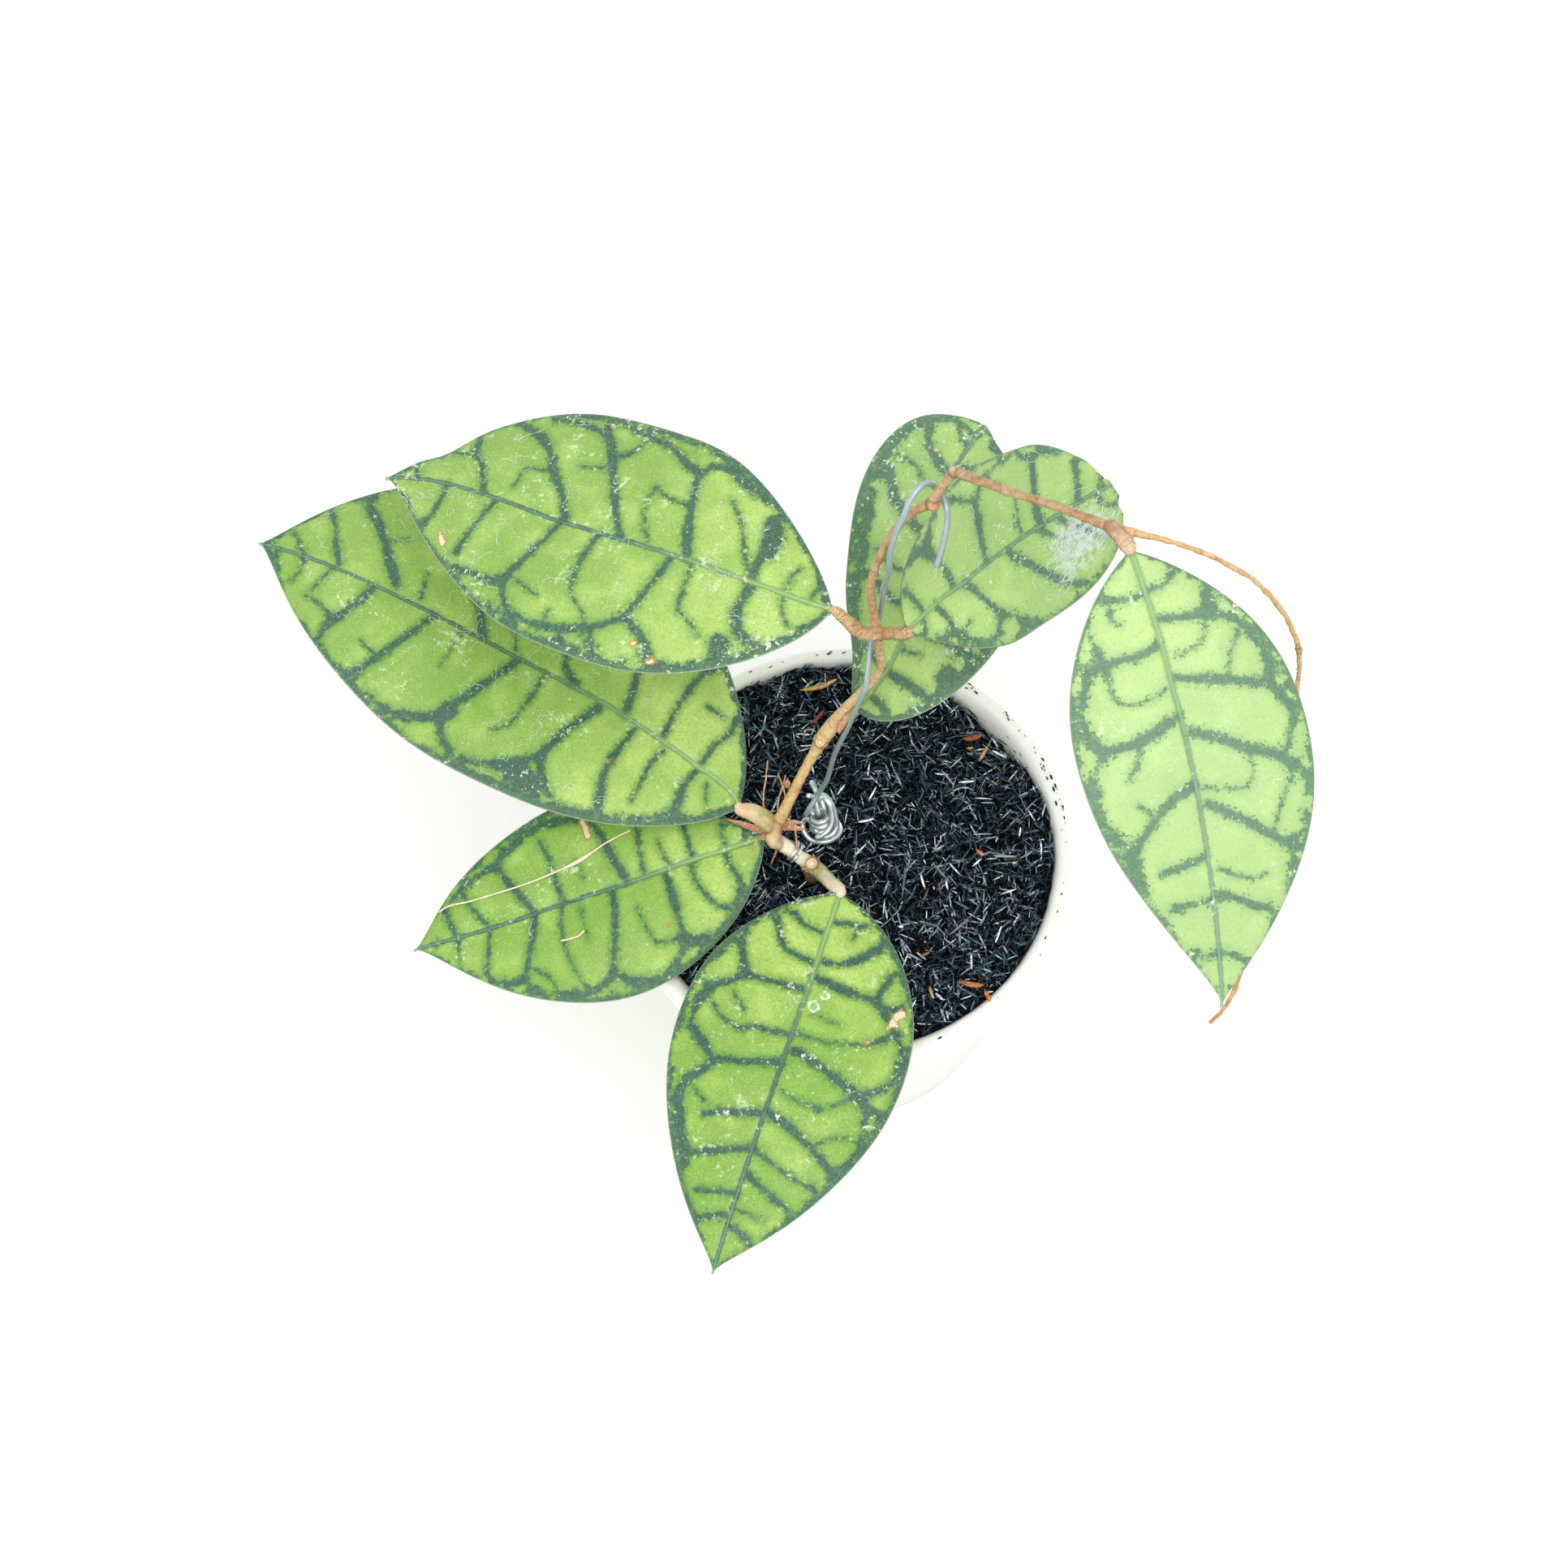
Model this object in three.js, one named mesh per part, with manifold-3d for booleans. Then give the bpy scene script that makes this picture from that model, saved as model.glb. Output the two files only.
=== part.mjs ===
// A potted hoya: one climbing vine with seven large leaves, growing in charred rice husk in a white
// plastic nursery pot and led up a bent steel wire.
// Millimetres, +Z up. The origin is the centre of the pot's underside; +X is to the right and -Y is
// towards the side that the front leaf hangs over.
import * as THREE from 'three';
import { mergeVertices } from 'three/addons/utils/BufferGeometryUtils.js';
import Module from 'manifold-3d';

const wasm = await Module();
wasm.setup();

// ---------------------------------------------------------------- driving dimensions, pot
const RIM_RADIUS = 60;             // a 12 cm pot
const POT_HEIGHT = 100;
const BASE_RADIUS = 42.5;
const WALL = 1.6;
const FLOOR = 2.2;
const LIP_INNER_RADIUS = 57.4;     // the flat of the lip runs from here to its outer rounding
const SKIRT_DROP = 11;             // how far the turned-down rim reaches below the top
const SKIRT_WALL = 1.4;
const POT_SIDES = 48;
const DRAIN_HOLES = 8;
const DRAIN_RADIUS = 4;
const DRAIN_CIRCLE = 29;

// ---------------------------------------------------------------- driving dimensions, substrate
const GAP = 0.3;                   // clear space between pieces that touch
const FILL_HEIGHT = 98.3;          // the husk's level at the wall
const FILL_SAG = 4.6;              // how far lower it is in the middle
const HOLLOW_DEPTH = 6.5;          // how far it has sunk at the back right
const HOLLOW_BEARING = 36;         // degrees from +X
const HOLLOW_SPREAD = 17;          // degrees to each side
const STEM_DIP = 4.5;              // the dent under the bent stem
const STEM_DIP_AT = [-11, -9];
const STEM_DIP_RADIUS = 9;
const GRAIN = 0.9;                 // height of the loose surface's relief
const RINGS = 10;
const FILL_SIDES = 44;
const HUSKS = 50;
const HUSK_LENGTH = 8.5;
const HUSK_WIDTH = 2.2;
const HUSK_SEED = 20;
const HUSK_CLEAR = 11;             // no husk lies closer than this to the stem or the wire's knot

// ---------------------------------------------------------------- driving dimensions, leaves
const BLADE = 1.2;                 // thickness at the midrib
const BLADE_EDGE = 0.8;
const KEEL = 0.7;                  // the midrib stands proud underneath
const BASE_HALF = 1.3;             // half width where the blade meets its stalk
const TIP_HALF = 0.35;
const TIP_DRAW = 0.05;             // how far before the tip the outline draws in, as a share
const STATIONS = 18;
const COLUMNS = 6;
// base and tip are the two ends of the midrib. rise lifts and bow shifts its two inner handles, half
// holds the two half widths, and shape the two powers that set where the blade is broadest. A notch
// is a share along the blade, its side, its depth and its span.
const LEAVES = {
  leaf_left_upper: {
    base: [0, 25, 187], tip: [-109, 82, 170], rise: [8, 9], bow: [7, -7],
    half: [33.5, 34], shape: [0.75, 0.9], roll: 0, twist: 0, fold: 0.1, curl: 0.16,
    wave: 1.1, waves: 2.6, phase: 0.1, notches: [],
  },
  leaf_left_lower: {
    base: [-27, 8.5, 113.5], tip: [-146, 79, 148], rise: [5, 10], bow: [-6, -8],
    half: [36, 47], shape: [0.71, 0.77], roll: -4, twist: 0, fold: 0.1, curl: 0.16,
    wave: 1.2, waves: 2.2, phase: 0.4, notches: [],
  },
  leaf_left_rim: {
    base: [-21, 2, 107], tip: [-114.5, -19.5, 101], rise: [4, 5], bow: [4.5, -1.5],
    half: [29, 26], shape: [0.84, 0.97], roll: 7, twist: 0, fold: 0.1, curl: 0.12,
    wave: 0.9, waves: 2.4, phase: 0.7, notches: [],
  },
  leaf_front: {
    base: [-2.5, -16, 107.5], tip: [-42, -111, 100], rise: [7, 8], bow: [2, 0],
    half: [30, 30], shape: [0.66, 0.94], roll: 3, twist: 0, fold: 0.08, curl: 0.14,
    wave: 1.0, waves: 2.8, phase: 0.2, notches: [],
  },
  leaf_back: {
    base: [5, 20.5, 141.5], tip: [44, 83, 170], rise: [6, 8], bow: [-13, 9],
    half: [21, 28], shape: [0.57, 0.32], roll: 0, twist: -25, fold: 0.1, curl: 0.16,
    wave: 1.4, waves: 2.2, phase: 0.55, notches: [{ at: 0.96, side: 1, depth: 0.35, span: 0.03 }],
  },
  leaf_right_upper: {
    base: [18, 17.5, 188], tip: [67, 27, 234], rise: [3, 9], bow: [10, -7],
    half: [23, 22], shape: [0.57, 0.55], roll: 0, twist: 0, fold: 0.1, curl: 0.16,
    wave: 0.9, waves: 2.5, phase: 0.3, notches: [{ at: 0.93, side: -1, depth: 0.4, span: 0.04 }],
  },
  leaf_hanging: {
    base: [63, 0.5, 248], tip: [75, -88.5, 205], rise: [8, 10], bow: [2, 6],
    half: [26.5, 24], shape: [0.81, 1.08], roll: 0, twist: 0, fold: 0.1, curl: 0.16,
    wave: 1.0, waves: 2.3, phase: 0.8, notches: [],
  },
};

// ---------------------------------------------------------------- driving dimensions, vine
// Each route is a list of x, y, z, radius.
const ROOT_STOCK = [[-8, -1, 80, 2.1], [-9, -4, 92, 2.2], [-9.3, -4.4, 102, 2.4]];
const KNEE = [[-9.3, -4.4, 102, 2.5], [-12.5, -1.5, 104.5, 2.3], [-16, 0.8, 107.5, 2.7], [-18, 2, 110, 2.8]];
const LOWER_STEM = [
  [-18, 2, 110, 2.0], [-16, 4.6, 114, 1.7], [-13, 7.7, 119, 1.5], [-9.4, 11.1, 126, 1.4],
  [-6.3, 13.6, 132, 1.6], [-4.2, 15.2, 136, 2.0], [1, 18, 144, 1.5], [5.4, 19.8, 150, 1.4],
  [9.4, 20.8, 155.5, 1.4], [11.5, 21.7, 161, 1.5], [11.2, 22.1, 169, 1.6], [10.9, 22.1, 178, 1.8],
];
const UPPER_STEM = [
  [10.9, 22.1, 178, 1.7], [9.8, 22.9, 189, 1.4], [9.3, 23.3, 200, 1.4], [10.6, 24.1, 208, 1.4],
  [13, 24.6, 217, 1.4], [16.2, 25.4, 225, 1.4], [20.4, 25.7, 230, 1.4], [23.2, 25.5, 233, 1.6],
  [25.9, 26.8, 238, 1.3], [28.4, 28.4, 240, 1.4],
];
const ARM = [
  [28.4, 28.4, 240, 1.5], [33.8, 24.4, 242, 1.5], [38.4, 21.1, 243, 1.4], [48.8, 15, 245, 1.4],
  [60, 7.3, 247, 1.7],
];
const TENDRIL = [
  [60, 7.3, 247, 0.9], [63, 4.5, 249.5, 0.8], [69.3, 1.4, 251, 0.75], [77.6, -2, 250, 0.7],
  [83.7, -4.2, 247, 0.7], [89.2, -6.1, 243, 0.7], [93.8, -8.7, 238, 0.7], [97.7, -11.9, 232, 0.7],
  [99.9, -14.9, 226, 0.8], [100.7, -18.9, 214, 0.7], [98.8, -25.4, 207, 0.7], [95.9, -34.4, 201, 0.7],
  [92.1, -47.4, 195, 0.65], [87.6, -61.5, 191, 0.65], [82.4, -76.7, 188, 0.65], [78.2, -83, 188, 0.65],
  [74.5, -86.5, 190, 0.6],
];
// Stalks run from a joint of the stem to the base of a leaf, which ends each route.
const STALKS = {
  leaf_left_upper: [[10.9, 22.1, 178, 1.7], [6.6, 21.9, 180.5, 1.8], [3.6, 23.2, 184, 1.7]],
  leaf_left_lower: [[-18, 2, 110, 2.3], [-20.2, 4.6, 112.2, 2.5], [-23.6, 7, 113.2, 2.4]],
  leaf_left_rim: [[-18, 2, 109, 1.8]],
  leaf_front: [[-9.3, -4.4, 102, 2.4], [-6.6, -8.2, 104, 2.3], [-4, -12.4, 106.4, 2.2]],
  leaf_back: [[-4.2, 15.2, 136, 1.8], [-0.6, 17.6, 139.6, 1.7]],
  leaf_right_upper: [[10.9, 22.1, 178, 1.7], [13.6, 20.2, 182, 1.7]],
  leaf_hanging: [[60, 7.3, 247, 1.6], [61.8, 3.8, 249, 1.5]],
};
const STALK_END_RADIUS = 1.4;
// Swellings at the joints: centre, radius.
const JOINTS = [
  [-9.3, -4.4, 102, 3.0], [-18, 2, 110, 3.1], [-4.2, 15.2, 136, 2.3], [10.9, 22.1, 178, 2.3],
  [23.4, 25.1, 232.8, 1.9], [28.4, 28.4, 240, 1.7], [60, 7.3, 247, 2.1], [99.9, -14.9, 226, 1.1],
];
// Thin air roots at the lowest joint.
const ROOTLET_RADIUS = 0.35;
const ROOTLETS = [
  [[-19.5, 4.5, 111], [-20.4, 9.8, 112], [-19.5, 15.4, 113], [-18.4, 21.4, 113]],
  [[-17, 4.2, 112], [-16.4, 9, 113.5], [-15.2, 12.2, 114.5], [-14, 16.1, 114.5]],
  [[-12.4, -4.6, 108.4], [-12.6, 0, 110], [-12.6, 4, 110.3], [-14.6, 4.6, 112.6]],
  [[-19.5, 1, 108.6], [-22.6, 0.4, 110.6], [-23.4, -1.6, 110.8], [-23.6, -4, 110.4]],
  [[-17, 0, 106.5], [-18.2, -1.4, 104], [-19.6, -3, 100.5]],
];
// Dried sheaths at the same joint: from, to, half width.
const SHEATHS = [
  [[-17.5, 1, 108.2], [-31, 7.2, 109.6], 1.1],
  [[-17, 3, 110], [-9.6, 2.2, 109.4], 0.9],
];
const SHEATH_THICKNESS = 0.6;

// ---------------------------------------------------------------- driving dimensions, wires
const WIRE_RADIUS = 0.75;
const COIL_FOOT = [-6, 11.2, 95.6];
const COIL_TOP = [-6.2, 12.4, 102.8];
const COIL_RADII = [4.6, 2.4];
const COIL_TURNS = 4.5;
const COIL_STEPS = 9;              // per turn
const WIRE_ROUTE = [
  [-5.2, 14.4, 106.8], [-3.1, 13.6, 116], [-1.1, 14.4, 128], [2.7, 15, 143], [5.4, 16, 153],
  [7.3, 17.2, 160], [8.2, 20.2, 163.5], [9.4, 25, 167.5], [11.2, 26.2, 177], [12, 24.9, 188],
  [12.5, 23.6, 199], [13.4, 21.7, 210], [13.6, 21.6, 218], [15, 22, 227], [16.6, 22.8, 232],
  [19.4, 26.2, 236], [22.4, 28.6, 236], [25, 28.9, 231.5], [26.6, 24.8, 230], [26.4, 22.6, 226],
  [25.3, 20.3, 221], [24, 18.6, 216],
];
const WIRE_LEG = [[-1.8, 8.6, 94.4], [-3.4, 7.6, 92], [-5.4, 8.6, 88], [-6, 9.4, 76]];
const TIE_RADIUS = 0.5;
const TIE_AT = [-12.9, -1.2, 104.8];
const TIE_ALONG = [-0.73, 0.49, 0.48];
const TIE_LOOP = 3.5;              // from the stem's axis to the tie's own axis

// ---------------------------------------------------------------- driving dimensions, loose fibre
const FIBRE_RADIUS = 0.35;
// Where it lies on the leaf over the left rim: share along the blade, share across it.
const FIBRE_ROUTE = [[0.9, -0.86], [0.79, -0.42], [0.66, -0.31], [0.52, -0.34], [0.41, -0.46]];

// ---------------------------------------------------------------- colours
const FINISH = {
  pot: { color: 0xf1f1ee, roughness: 0.45, metalness: 0 },
  substrate: { color: 0x16181b, roughness: 0.7, metalness: 0 },
  vine: { color: 0xa9824f, roughness: 0.75, metalness: 0 },
  leaf: { color: 0x7fae3f, roughness: 0.5, metalness: 0 },
  wire: { color: 0x8f989c, roughness: 0.4, metalness: 1 },
  fibre: { color: 0xc9ab7c, roughness: 0.8, metalness: 0 },
};

// ---------------------------------------------------------------- helpers
const vec = (p) => new THREE.Vector3(p[0], p[1], p[2]);

function seeded(seed) {
  let state = seed >>> 0;
  return () => {
    state = (state + 0x6d2b79f5) >>> 0;
    let t = Math.imul(state ^ (state >>> 15), 1 | state);
    t = (t + Math.imul(t ^ (t >>> 7), 61 | t)) ^ t;
    return ((t ^ (t >>> 14)) >>> 0) / 4294967296;
  };
}

function meshGeometry(points, triangles) {
  const geometry = new THREE.BufferGeometry();
  geometry.setAttribute('position', new THREE.Float32BufferAttribute(points.flat(), 3));
  geometry.setIndex(triangles.flat());
  return geometry;
}

function solid(geometry) {
  const bare = geometry.clone();
  bare.deleteAttribute('normal');
  bare.deleteAttribute('uv');
  const merged = mergeVertices(bare, 1e-4);
  return new wasm.Manifold(new wasm.Mesh({
    numProp: 3,
    vertProperties: new Float32Array(merged.attributes.position.array),
    triVerts: new Uint32Array(merged.index.array),
  }));
}

function geometryOf(manifold) {
  const mesh = manifold.getMesh();
  const geometry = new THREE.BufferGeometry();
  geometry.setAttribute('position', new THREE.BufferAttribute(new Float32Array(mesh.vertProperties), 3));
  geometry.setIndex(new THREE.BufferAttribute(new Uint32Array(mesh.triVerts), 1));
  return geometry;
}

// A round rod of changing radius along a smooth curve through its points, with flat ends.
function rod(route, sides, stepsPerSpan) {
  const curve = new THREE.CatmullRomCurve3(route.map(vec), false, 'centripetal');
  const spans = route.length - 1;
  const steps = spans * stepsPerSpan;
  const points = [];
  const triangles = [];
  const side = new THREE.Vector3();
  let previous = null;
  for (let i = 0; i <= steps; i += 1) {
    const u = i / steps;
    const centre = curve.getPoint(u);
    const along = curve.getTangent(u);
    if (previous === null) {
      side.set(Math.abs(along.z) < 0.9 ? 0 : 1, 0, Math.abs(along.z) < 0.9 ? 1 : 0);
    }
    side.addScaledVector(along, -side.dot(along)).normalize();
    previous = along;
    const other = new THREE.Vector3().crossVectors(along, side);
    const span = Math.min(Math.floor(u * spans), spans - 1);
    const share = u * spans - span;
    const radius = THREE.MathUtils.lerp(route[span][3], route[span + 1][3], share);
    for (let k = 0; k < sides; k += 1) {
      const angle = (2 * Math.PI * k) / sides;
      const p = centre.clone()
        .addScaledVector(side, radius * Math.cos(angle))
        .addScaledVector(other, radius * Math.sin(angle));
      points.push(p.toArray());
    }
  }
  for (let i = 0; i < steps; i += 1) {
    for (let k = 0; k < sides; k += 1) {
      const a = i * sides + k;
      const b = i * sides + ((k + 1) % sides);
      triangles.push([a, b, b + sides], [a, b + sides, a + sides]);
    }
  }
  const last = steps * sides;
  for (let k = 1; k < sides - 1; k += 1) {
    triangles.push([0, k + 1, k], [last, last + k, last + k + 1]);
  }
  return meshGeometry(points, triangles);
}

const withRadius = (route, radius) => route.map((p) => [p[0], p[1], p[2], radius]);
const swollen = (route, extra) => route.map((p) => [p[0], p[1], p[2], p[3] + extra]);

function ball([x, y, z, radius]) {
  return new THREE.SphereGeometry(radius, 8, 6).translate(x, y, z);
}

// ---------------------------------------------------------------- leaves
function leafFrame(leaf) {
  const base = vec(leaf.base);
  const chord = vec(leaf.tip).sub(base);
  const along = chord.clone().normalize();
  const up = new THREE.Vector3(0, 0, 1);
  up.addScaledVector(along, -up.dot(along)).normalize();
  const across = new THREE.Vector3().crossVectors(up, along);
  const roll = THREE.MathUtils.degToRad(leaf.roll);
  const face = up.clone().multiplyScalar(Math.cos(roll)).addScaledVector(across, Math.sin(roll));
  const side = across.clone().multiplyScalar(Math.cos(roll)).addScaledVector(up, -Math.sin(roll));
  return { base, chord, along, face, side };
}

// The outline's half width at a share along the blade, as a part of the broadest.
function outline(t, shape) {
  const draw = (1 - Math.exp(-(1 - t) / TIP_DRAW)) ** 0.7;
  return t ** shape[0] * (1 - t) ** shape[1] * draw;
}

function broadest(shape) {
  let best = 0;
  for (let i = 1; i < 200; i += 1) best = Math.max(best, outline(i / 200, shape));
  return best;
}

// A point of the blade's middle surface and the way it faces. t runs from base to tip and s from -1
// to 1 across it.
function leafPoint(leaf, t, s) {
  const { base, chord, face, side } = leafFrame(leaf);
  const handle = (share, k) => base.clone().addScaledVector(chord, share)
    .addScaledVector(face, leaf.rise[k]).addScaledVector(side, leaf.bow[k]);
  const tip = base.clone().add(chord);
  const midrib = new THREE.CubicBezierCurve3(base, handle(1 / 3, 0), handle(2 / 3, 1), tip);
  const centre = midrib.getPoint(t);
  const along = midrib.getTangent(t);
  const twist = THREE.MathUtils.degToRad(leaf.twist) * (t - 0.5);
  const normal = face.clone().multiplyScalar(Math.cos(twist)).addScaledVector(side, Math.sin(twist));
  normal.addScaledVector(along, -normal.dot(along)).normalize();
  const outward = new THREE.Vector3().crossVectors(normal, along);
  const a = Math.abs(s);
  const right = s > 0;
  let half = leaf.half[right ? 0 : 1] * (outline(t, leaf.shape) / broadest(leaf.shape));
  for (const notch of leaf.notches) {
    if (right === notch.side > 0) half *= 1 - notch.depth * Math.exp(-(((t - notch.at) / notch.span) ** 2));
  }
  half = Math.max(half, t < 0.5 ? BASE_HALF : TIP_HALF);
  const turn = leaf.waves * t + leaf.phase + (right ? 0 : 0.37);
  const ripple = leaf.wave * a * a * Math.sin(2 * Math.PI * turn) * Math.sin(Math.PI * t);
  const height = half * (leaf.fold * a - leaf.curl * a * a) + ripple;
  centre.addScaledVector(outward, half * s).addScaledVector(normal, height);
  return { centre, normal };
}

function leafSolid(leaf) {
  const points = [];
  const triangles = [];
  const wide = COLUMNS + 1;
  for (const face of [1, -1]) {
    for (let i = 0; i <= STATIONS; i += 1) {
      const t = 0.5 - 0.5 * Math.cos((Math.PI * i) / STATIONS);
      for (let j = 0; j < wide; j += 1) {
        const s = (2 * j) / COLUMNS - 1;
        const { centre, normal } = leafPoint(leaf, t, s);
        const thick = THREE.MathUtils.lerp(BLADE, BLADE_EDGE, s * s);
        const keel = face < 0 && s === 0 ? KEEL * (1 - t) : 0;
        points.push(centre.addScaledVector(normal, face * (thick / 2 + keel)).toArray());
      }
    }
  }
  const under = (STATIONS + 1) * wide;
  const quad = (a, b, c, d) => triangles.push([a, b, c], [a, c, d]);
  for (let i = 0; i < STATIONS; i += 1) {
    for (let j = 0; j < COLUMNS; j += 1) {
      const a = i * wide + j;
      const [b, c, d] = [a + 1, a + wide + 1, a + wide];
      triangles.push([a, c, b], [a, d, c]);
      triangles.push([under + a, under + b, under + c], [under + a, under + c, under + d]);
    }
    const [left, right] = [i * wide, i * wide + COLUMNS];
    quad(left, under + left, under + left + wide, left + wide);
    quad(right, right + wide, under + right + wide, under + right);
  }
  for (let j = 0; j < COLUMNS; j += 1) {
    const [first, last] = [j, STATIONS * wide + j];
    quad(first, first + 1, under + first + 1, under + first);
    quad(last, under + last, under + last + 1, last + 1);
  }
  return meshGeometry(points, triangles);
}

// ---------------------------------------------------------------- vine
function stalk(name) {
  const leaf = LEAVES[name];
  const { base } = leafFrame(leaf);
  const start = leafPoint(leaf, 0.02, 0).centre.sub(base).normalize();
  const before = base.clone().addScaledVector(start, -2.2).toArray();
  const end = base.clone().addScaledVector(start, -GAP - 0.1).toArray();
  const route = [...STALKS[name], [...before, STALK_END_RADIUS + 0.1], [...end, STALK_END_RADIUS]];
  return rod(route, 8, 1);
}

function sheath([from, to, half]) {
  const length = vec(to).distanceTo(vec(from));
  const shape = new THREE.Shape();
  shape.moveTo(0, -half * 0.6);
  shape.quadraticCurveTo(length * 0.5, -half * 1.6, length, 0);
  shape.quadraticCurveTo(length * 0.5, half * 1.6, 0, half * 0.6);
  const blade = new THREE.ExtrudeGeometry(shape, {
    depth: SHEATH_THICKNESS, bevelEnabled: false, curveSegments: 4,
  });
  blade.translate(0, 0, -SHEATH_THICKNESS / 2);
  const along = vec(to).sub(vec(from)).normalize();
  const side = new THREE.Vector3(0, 0, 1).cross(along).normalize();
  const up = new THREE.Vector3().crossVectors(along, side);
  return blade.applyMatrix4(new THREE.Matrix4().makeBasis(along, side, up).setPosition(...from));
}

function vineSolid() {
  const pieces = [
    rod(ROOT_STOCK, 10, 1), rod(KNEE, 10, 2), rod(LOWER_STEM, 8, 2), rod(UPPER_STEM, 8, 2),
    rod(ARM, 8, 2), rod(TENDRIL, 6, 1),
    ...JOINTS.map(ball),
    ...Object.keys(STALKS).map(stalk),
    ...ROOTLETS.map((route) => rod(withRadius(route, ROOTLET_RADIUS), 4, 1)),
    ...SHEATHS.map(sheath),
  ];
  return geometryOf(wasm.Manifold.union(pieces.map(solid)));
}

// ---------------------------------------------------------------- wires
function coilRoute() {
  const foot = vec(COIL_FOOT);
  const top = vec(COIL_TOP);
  const axis = top.clone().sub(foot).normalize();
  const side = new THREE.Vector3(1, 0, 0).addScaledVector(axis, -axis.x).normalize();
  const other = new THREE.Vector3().crossVectors(axis, side);
  const route = [];
  const steps = Math.round(COIL_TURNS * COIL_STEPS);
  for (let i = 0; i <= steps; i += 1) {
    const share = i / steps;
    const angle = 2 * Math.PI * COIL_TURNS * share;
    const radius = THREE.MathUtils.lerp(COIL_RADII[0], COIL_RADII[1], share);
    const p = foot.clone().lerp(top, share)
      .addScaledVector(side, radius * Math.cos(angle))
      .addScaledVector(other, radius * Math.sin(angle));
    route.push([p.x, p.y, p.z]);
  }
  return route;
}

const legRoute = () => [...WIRE_LEG].reverse().concat(coilRoute().slice(0, 2));

function supportSolid() {
  const coil = coilRoute();
  const stretches = [legRoute(), coil, [...coil.slice(-2), ...WIRE_ROUTE]];
  const rods = stretches.map((route, k) => rod(withRadius(route, WIRE_RADIUS), 6, k === 1 ? 1 : 2));
  return geometryOf(wasm.Manifold.union(rods.map(solid)));
}

function tieSolid() {
  const loop = new THREE.TorusGeometry(TIE_LOOP, TIE_RADIUS, 6, 16);
  const turn = new THREE.Quaternion().setFromUnitVectors(
    new THREE.Vector3(0, 0, 1), vec(TIE_ALONG).normalize());
  return loop.applyQuaternion(turn).translate(...TIE_AT);
}

// ---------------------------------------------------------------- pot and substrate
// The outside of the tapered wall at a height.
const wallRadius = (z) => BASE_RADIUS + ((LIP_INNER_RADIUS - BASE_RADIUS) * z) / POT_HEIGHT;
const boreRadius = (z) => wallRadius(z) - WALL;

function potSolid() {
  const skirtInner = RIM_RADIUS - SKIRT_WALL;
  const under = POT_HEIGHT - SKIRT_WALL - 0.6;
  const profile = [
    [0, 0], [BASE_RADIUS - 1.4, 0], [BASE_RADIUS - 0.4, 0.4], [wallRadius(1.6), 1.6],
    [wallRadius(under), under], [skirtInner, under], [skirtInner, POT_HEIGHT - SKIRT_DROP],
    [RIM_RADIUS - 0.2, POT_HEIGHT - SKIRT_DROP], [RIM_RADIUS, POT_HEIGHT - SKIRT_DROP + 0.6],
    [RIM_RADIUS, POT_HEIGHT - 1.1], [RIM_RADIUS - 0.35, POT_HEIGHT - 0.3],
    [RIM_RADIUS - 1.1, POT_HEIGHT], [LIP_INNER_RADIUS, POT_HEIGHT],
    [LIP_INNER_RADIUS - 0.9, POT_HEIGHT - 0.4], [boreRadius(POT_HEIGHT - 2), POT_HEIGHT - 2],
    [boreRadius(FLOOR + 1.5), FLOOR + 1.5], [boreRadius(FLOOR) - 1.2, FLOOR], [0, FLOOR],
  ].map(([r, z]) => new THREE.Vector2(r, z));
  const shell = new THREE.LatheGeometry(profile, POT_SIDES).rotateX(Math.PI / 2);
  let pot = solid(shell);
  for (let k = 0; k < DRAIN_HOLES; k += 1) {
    const angle = (2 * Math.PI * (k + 0.5)) / DRAIN_HOLES;
    const hole = new THREE.CylinderGeometry(DRAIN_RADIUS, DRAIN_RADIUS, 3 * FLOOR, 12)
      .rotateX(Math.PI / 2)
      .translate(DRAIN_CIRCLE * Math.cos(angle), DRAIN_CIRCLE * Math.sin(angle), FLOOR / 2);
    pot = pot.subtract(solid(hole));
  }
  return geometryOf(pot);
}

// The level of the husk: highest at the wall, sunk at the back right, dented under the stem.
function fillLevel(x, y) {
  const out = Math.min(Math.hypot(x, y) / boreRadius(FILL_HEIGHT), 1);
  let off = THREE.MathUtils.radToDeg(Math.atan2(y, x)) - HOLLOW_BEARING;
  off = ((off + 540) % 360) - 180;
  const turn = Math.exp(-((off / HOLLOW_SPREAD) ** 2));
  const dent = Math.hypot(x - STEM_DIP_AT[0], y - STEM_DIP_AT[1]) / STEM_DIP_RADIUS;
  return FILL_HEIGHT - FILL_SAG * (1 - out) - HOLLOW_DEPTH * turn * out ** 2.4
    - STEM_DIP * Math.exp(-(dent ** 2));
}

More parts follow.
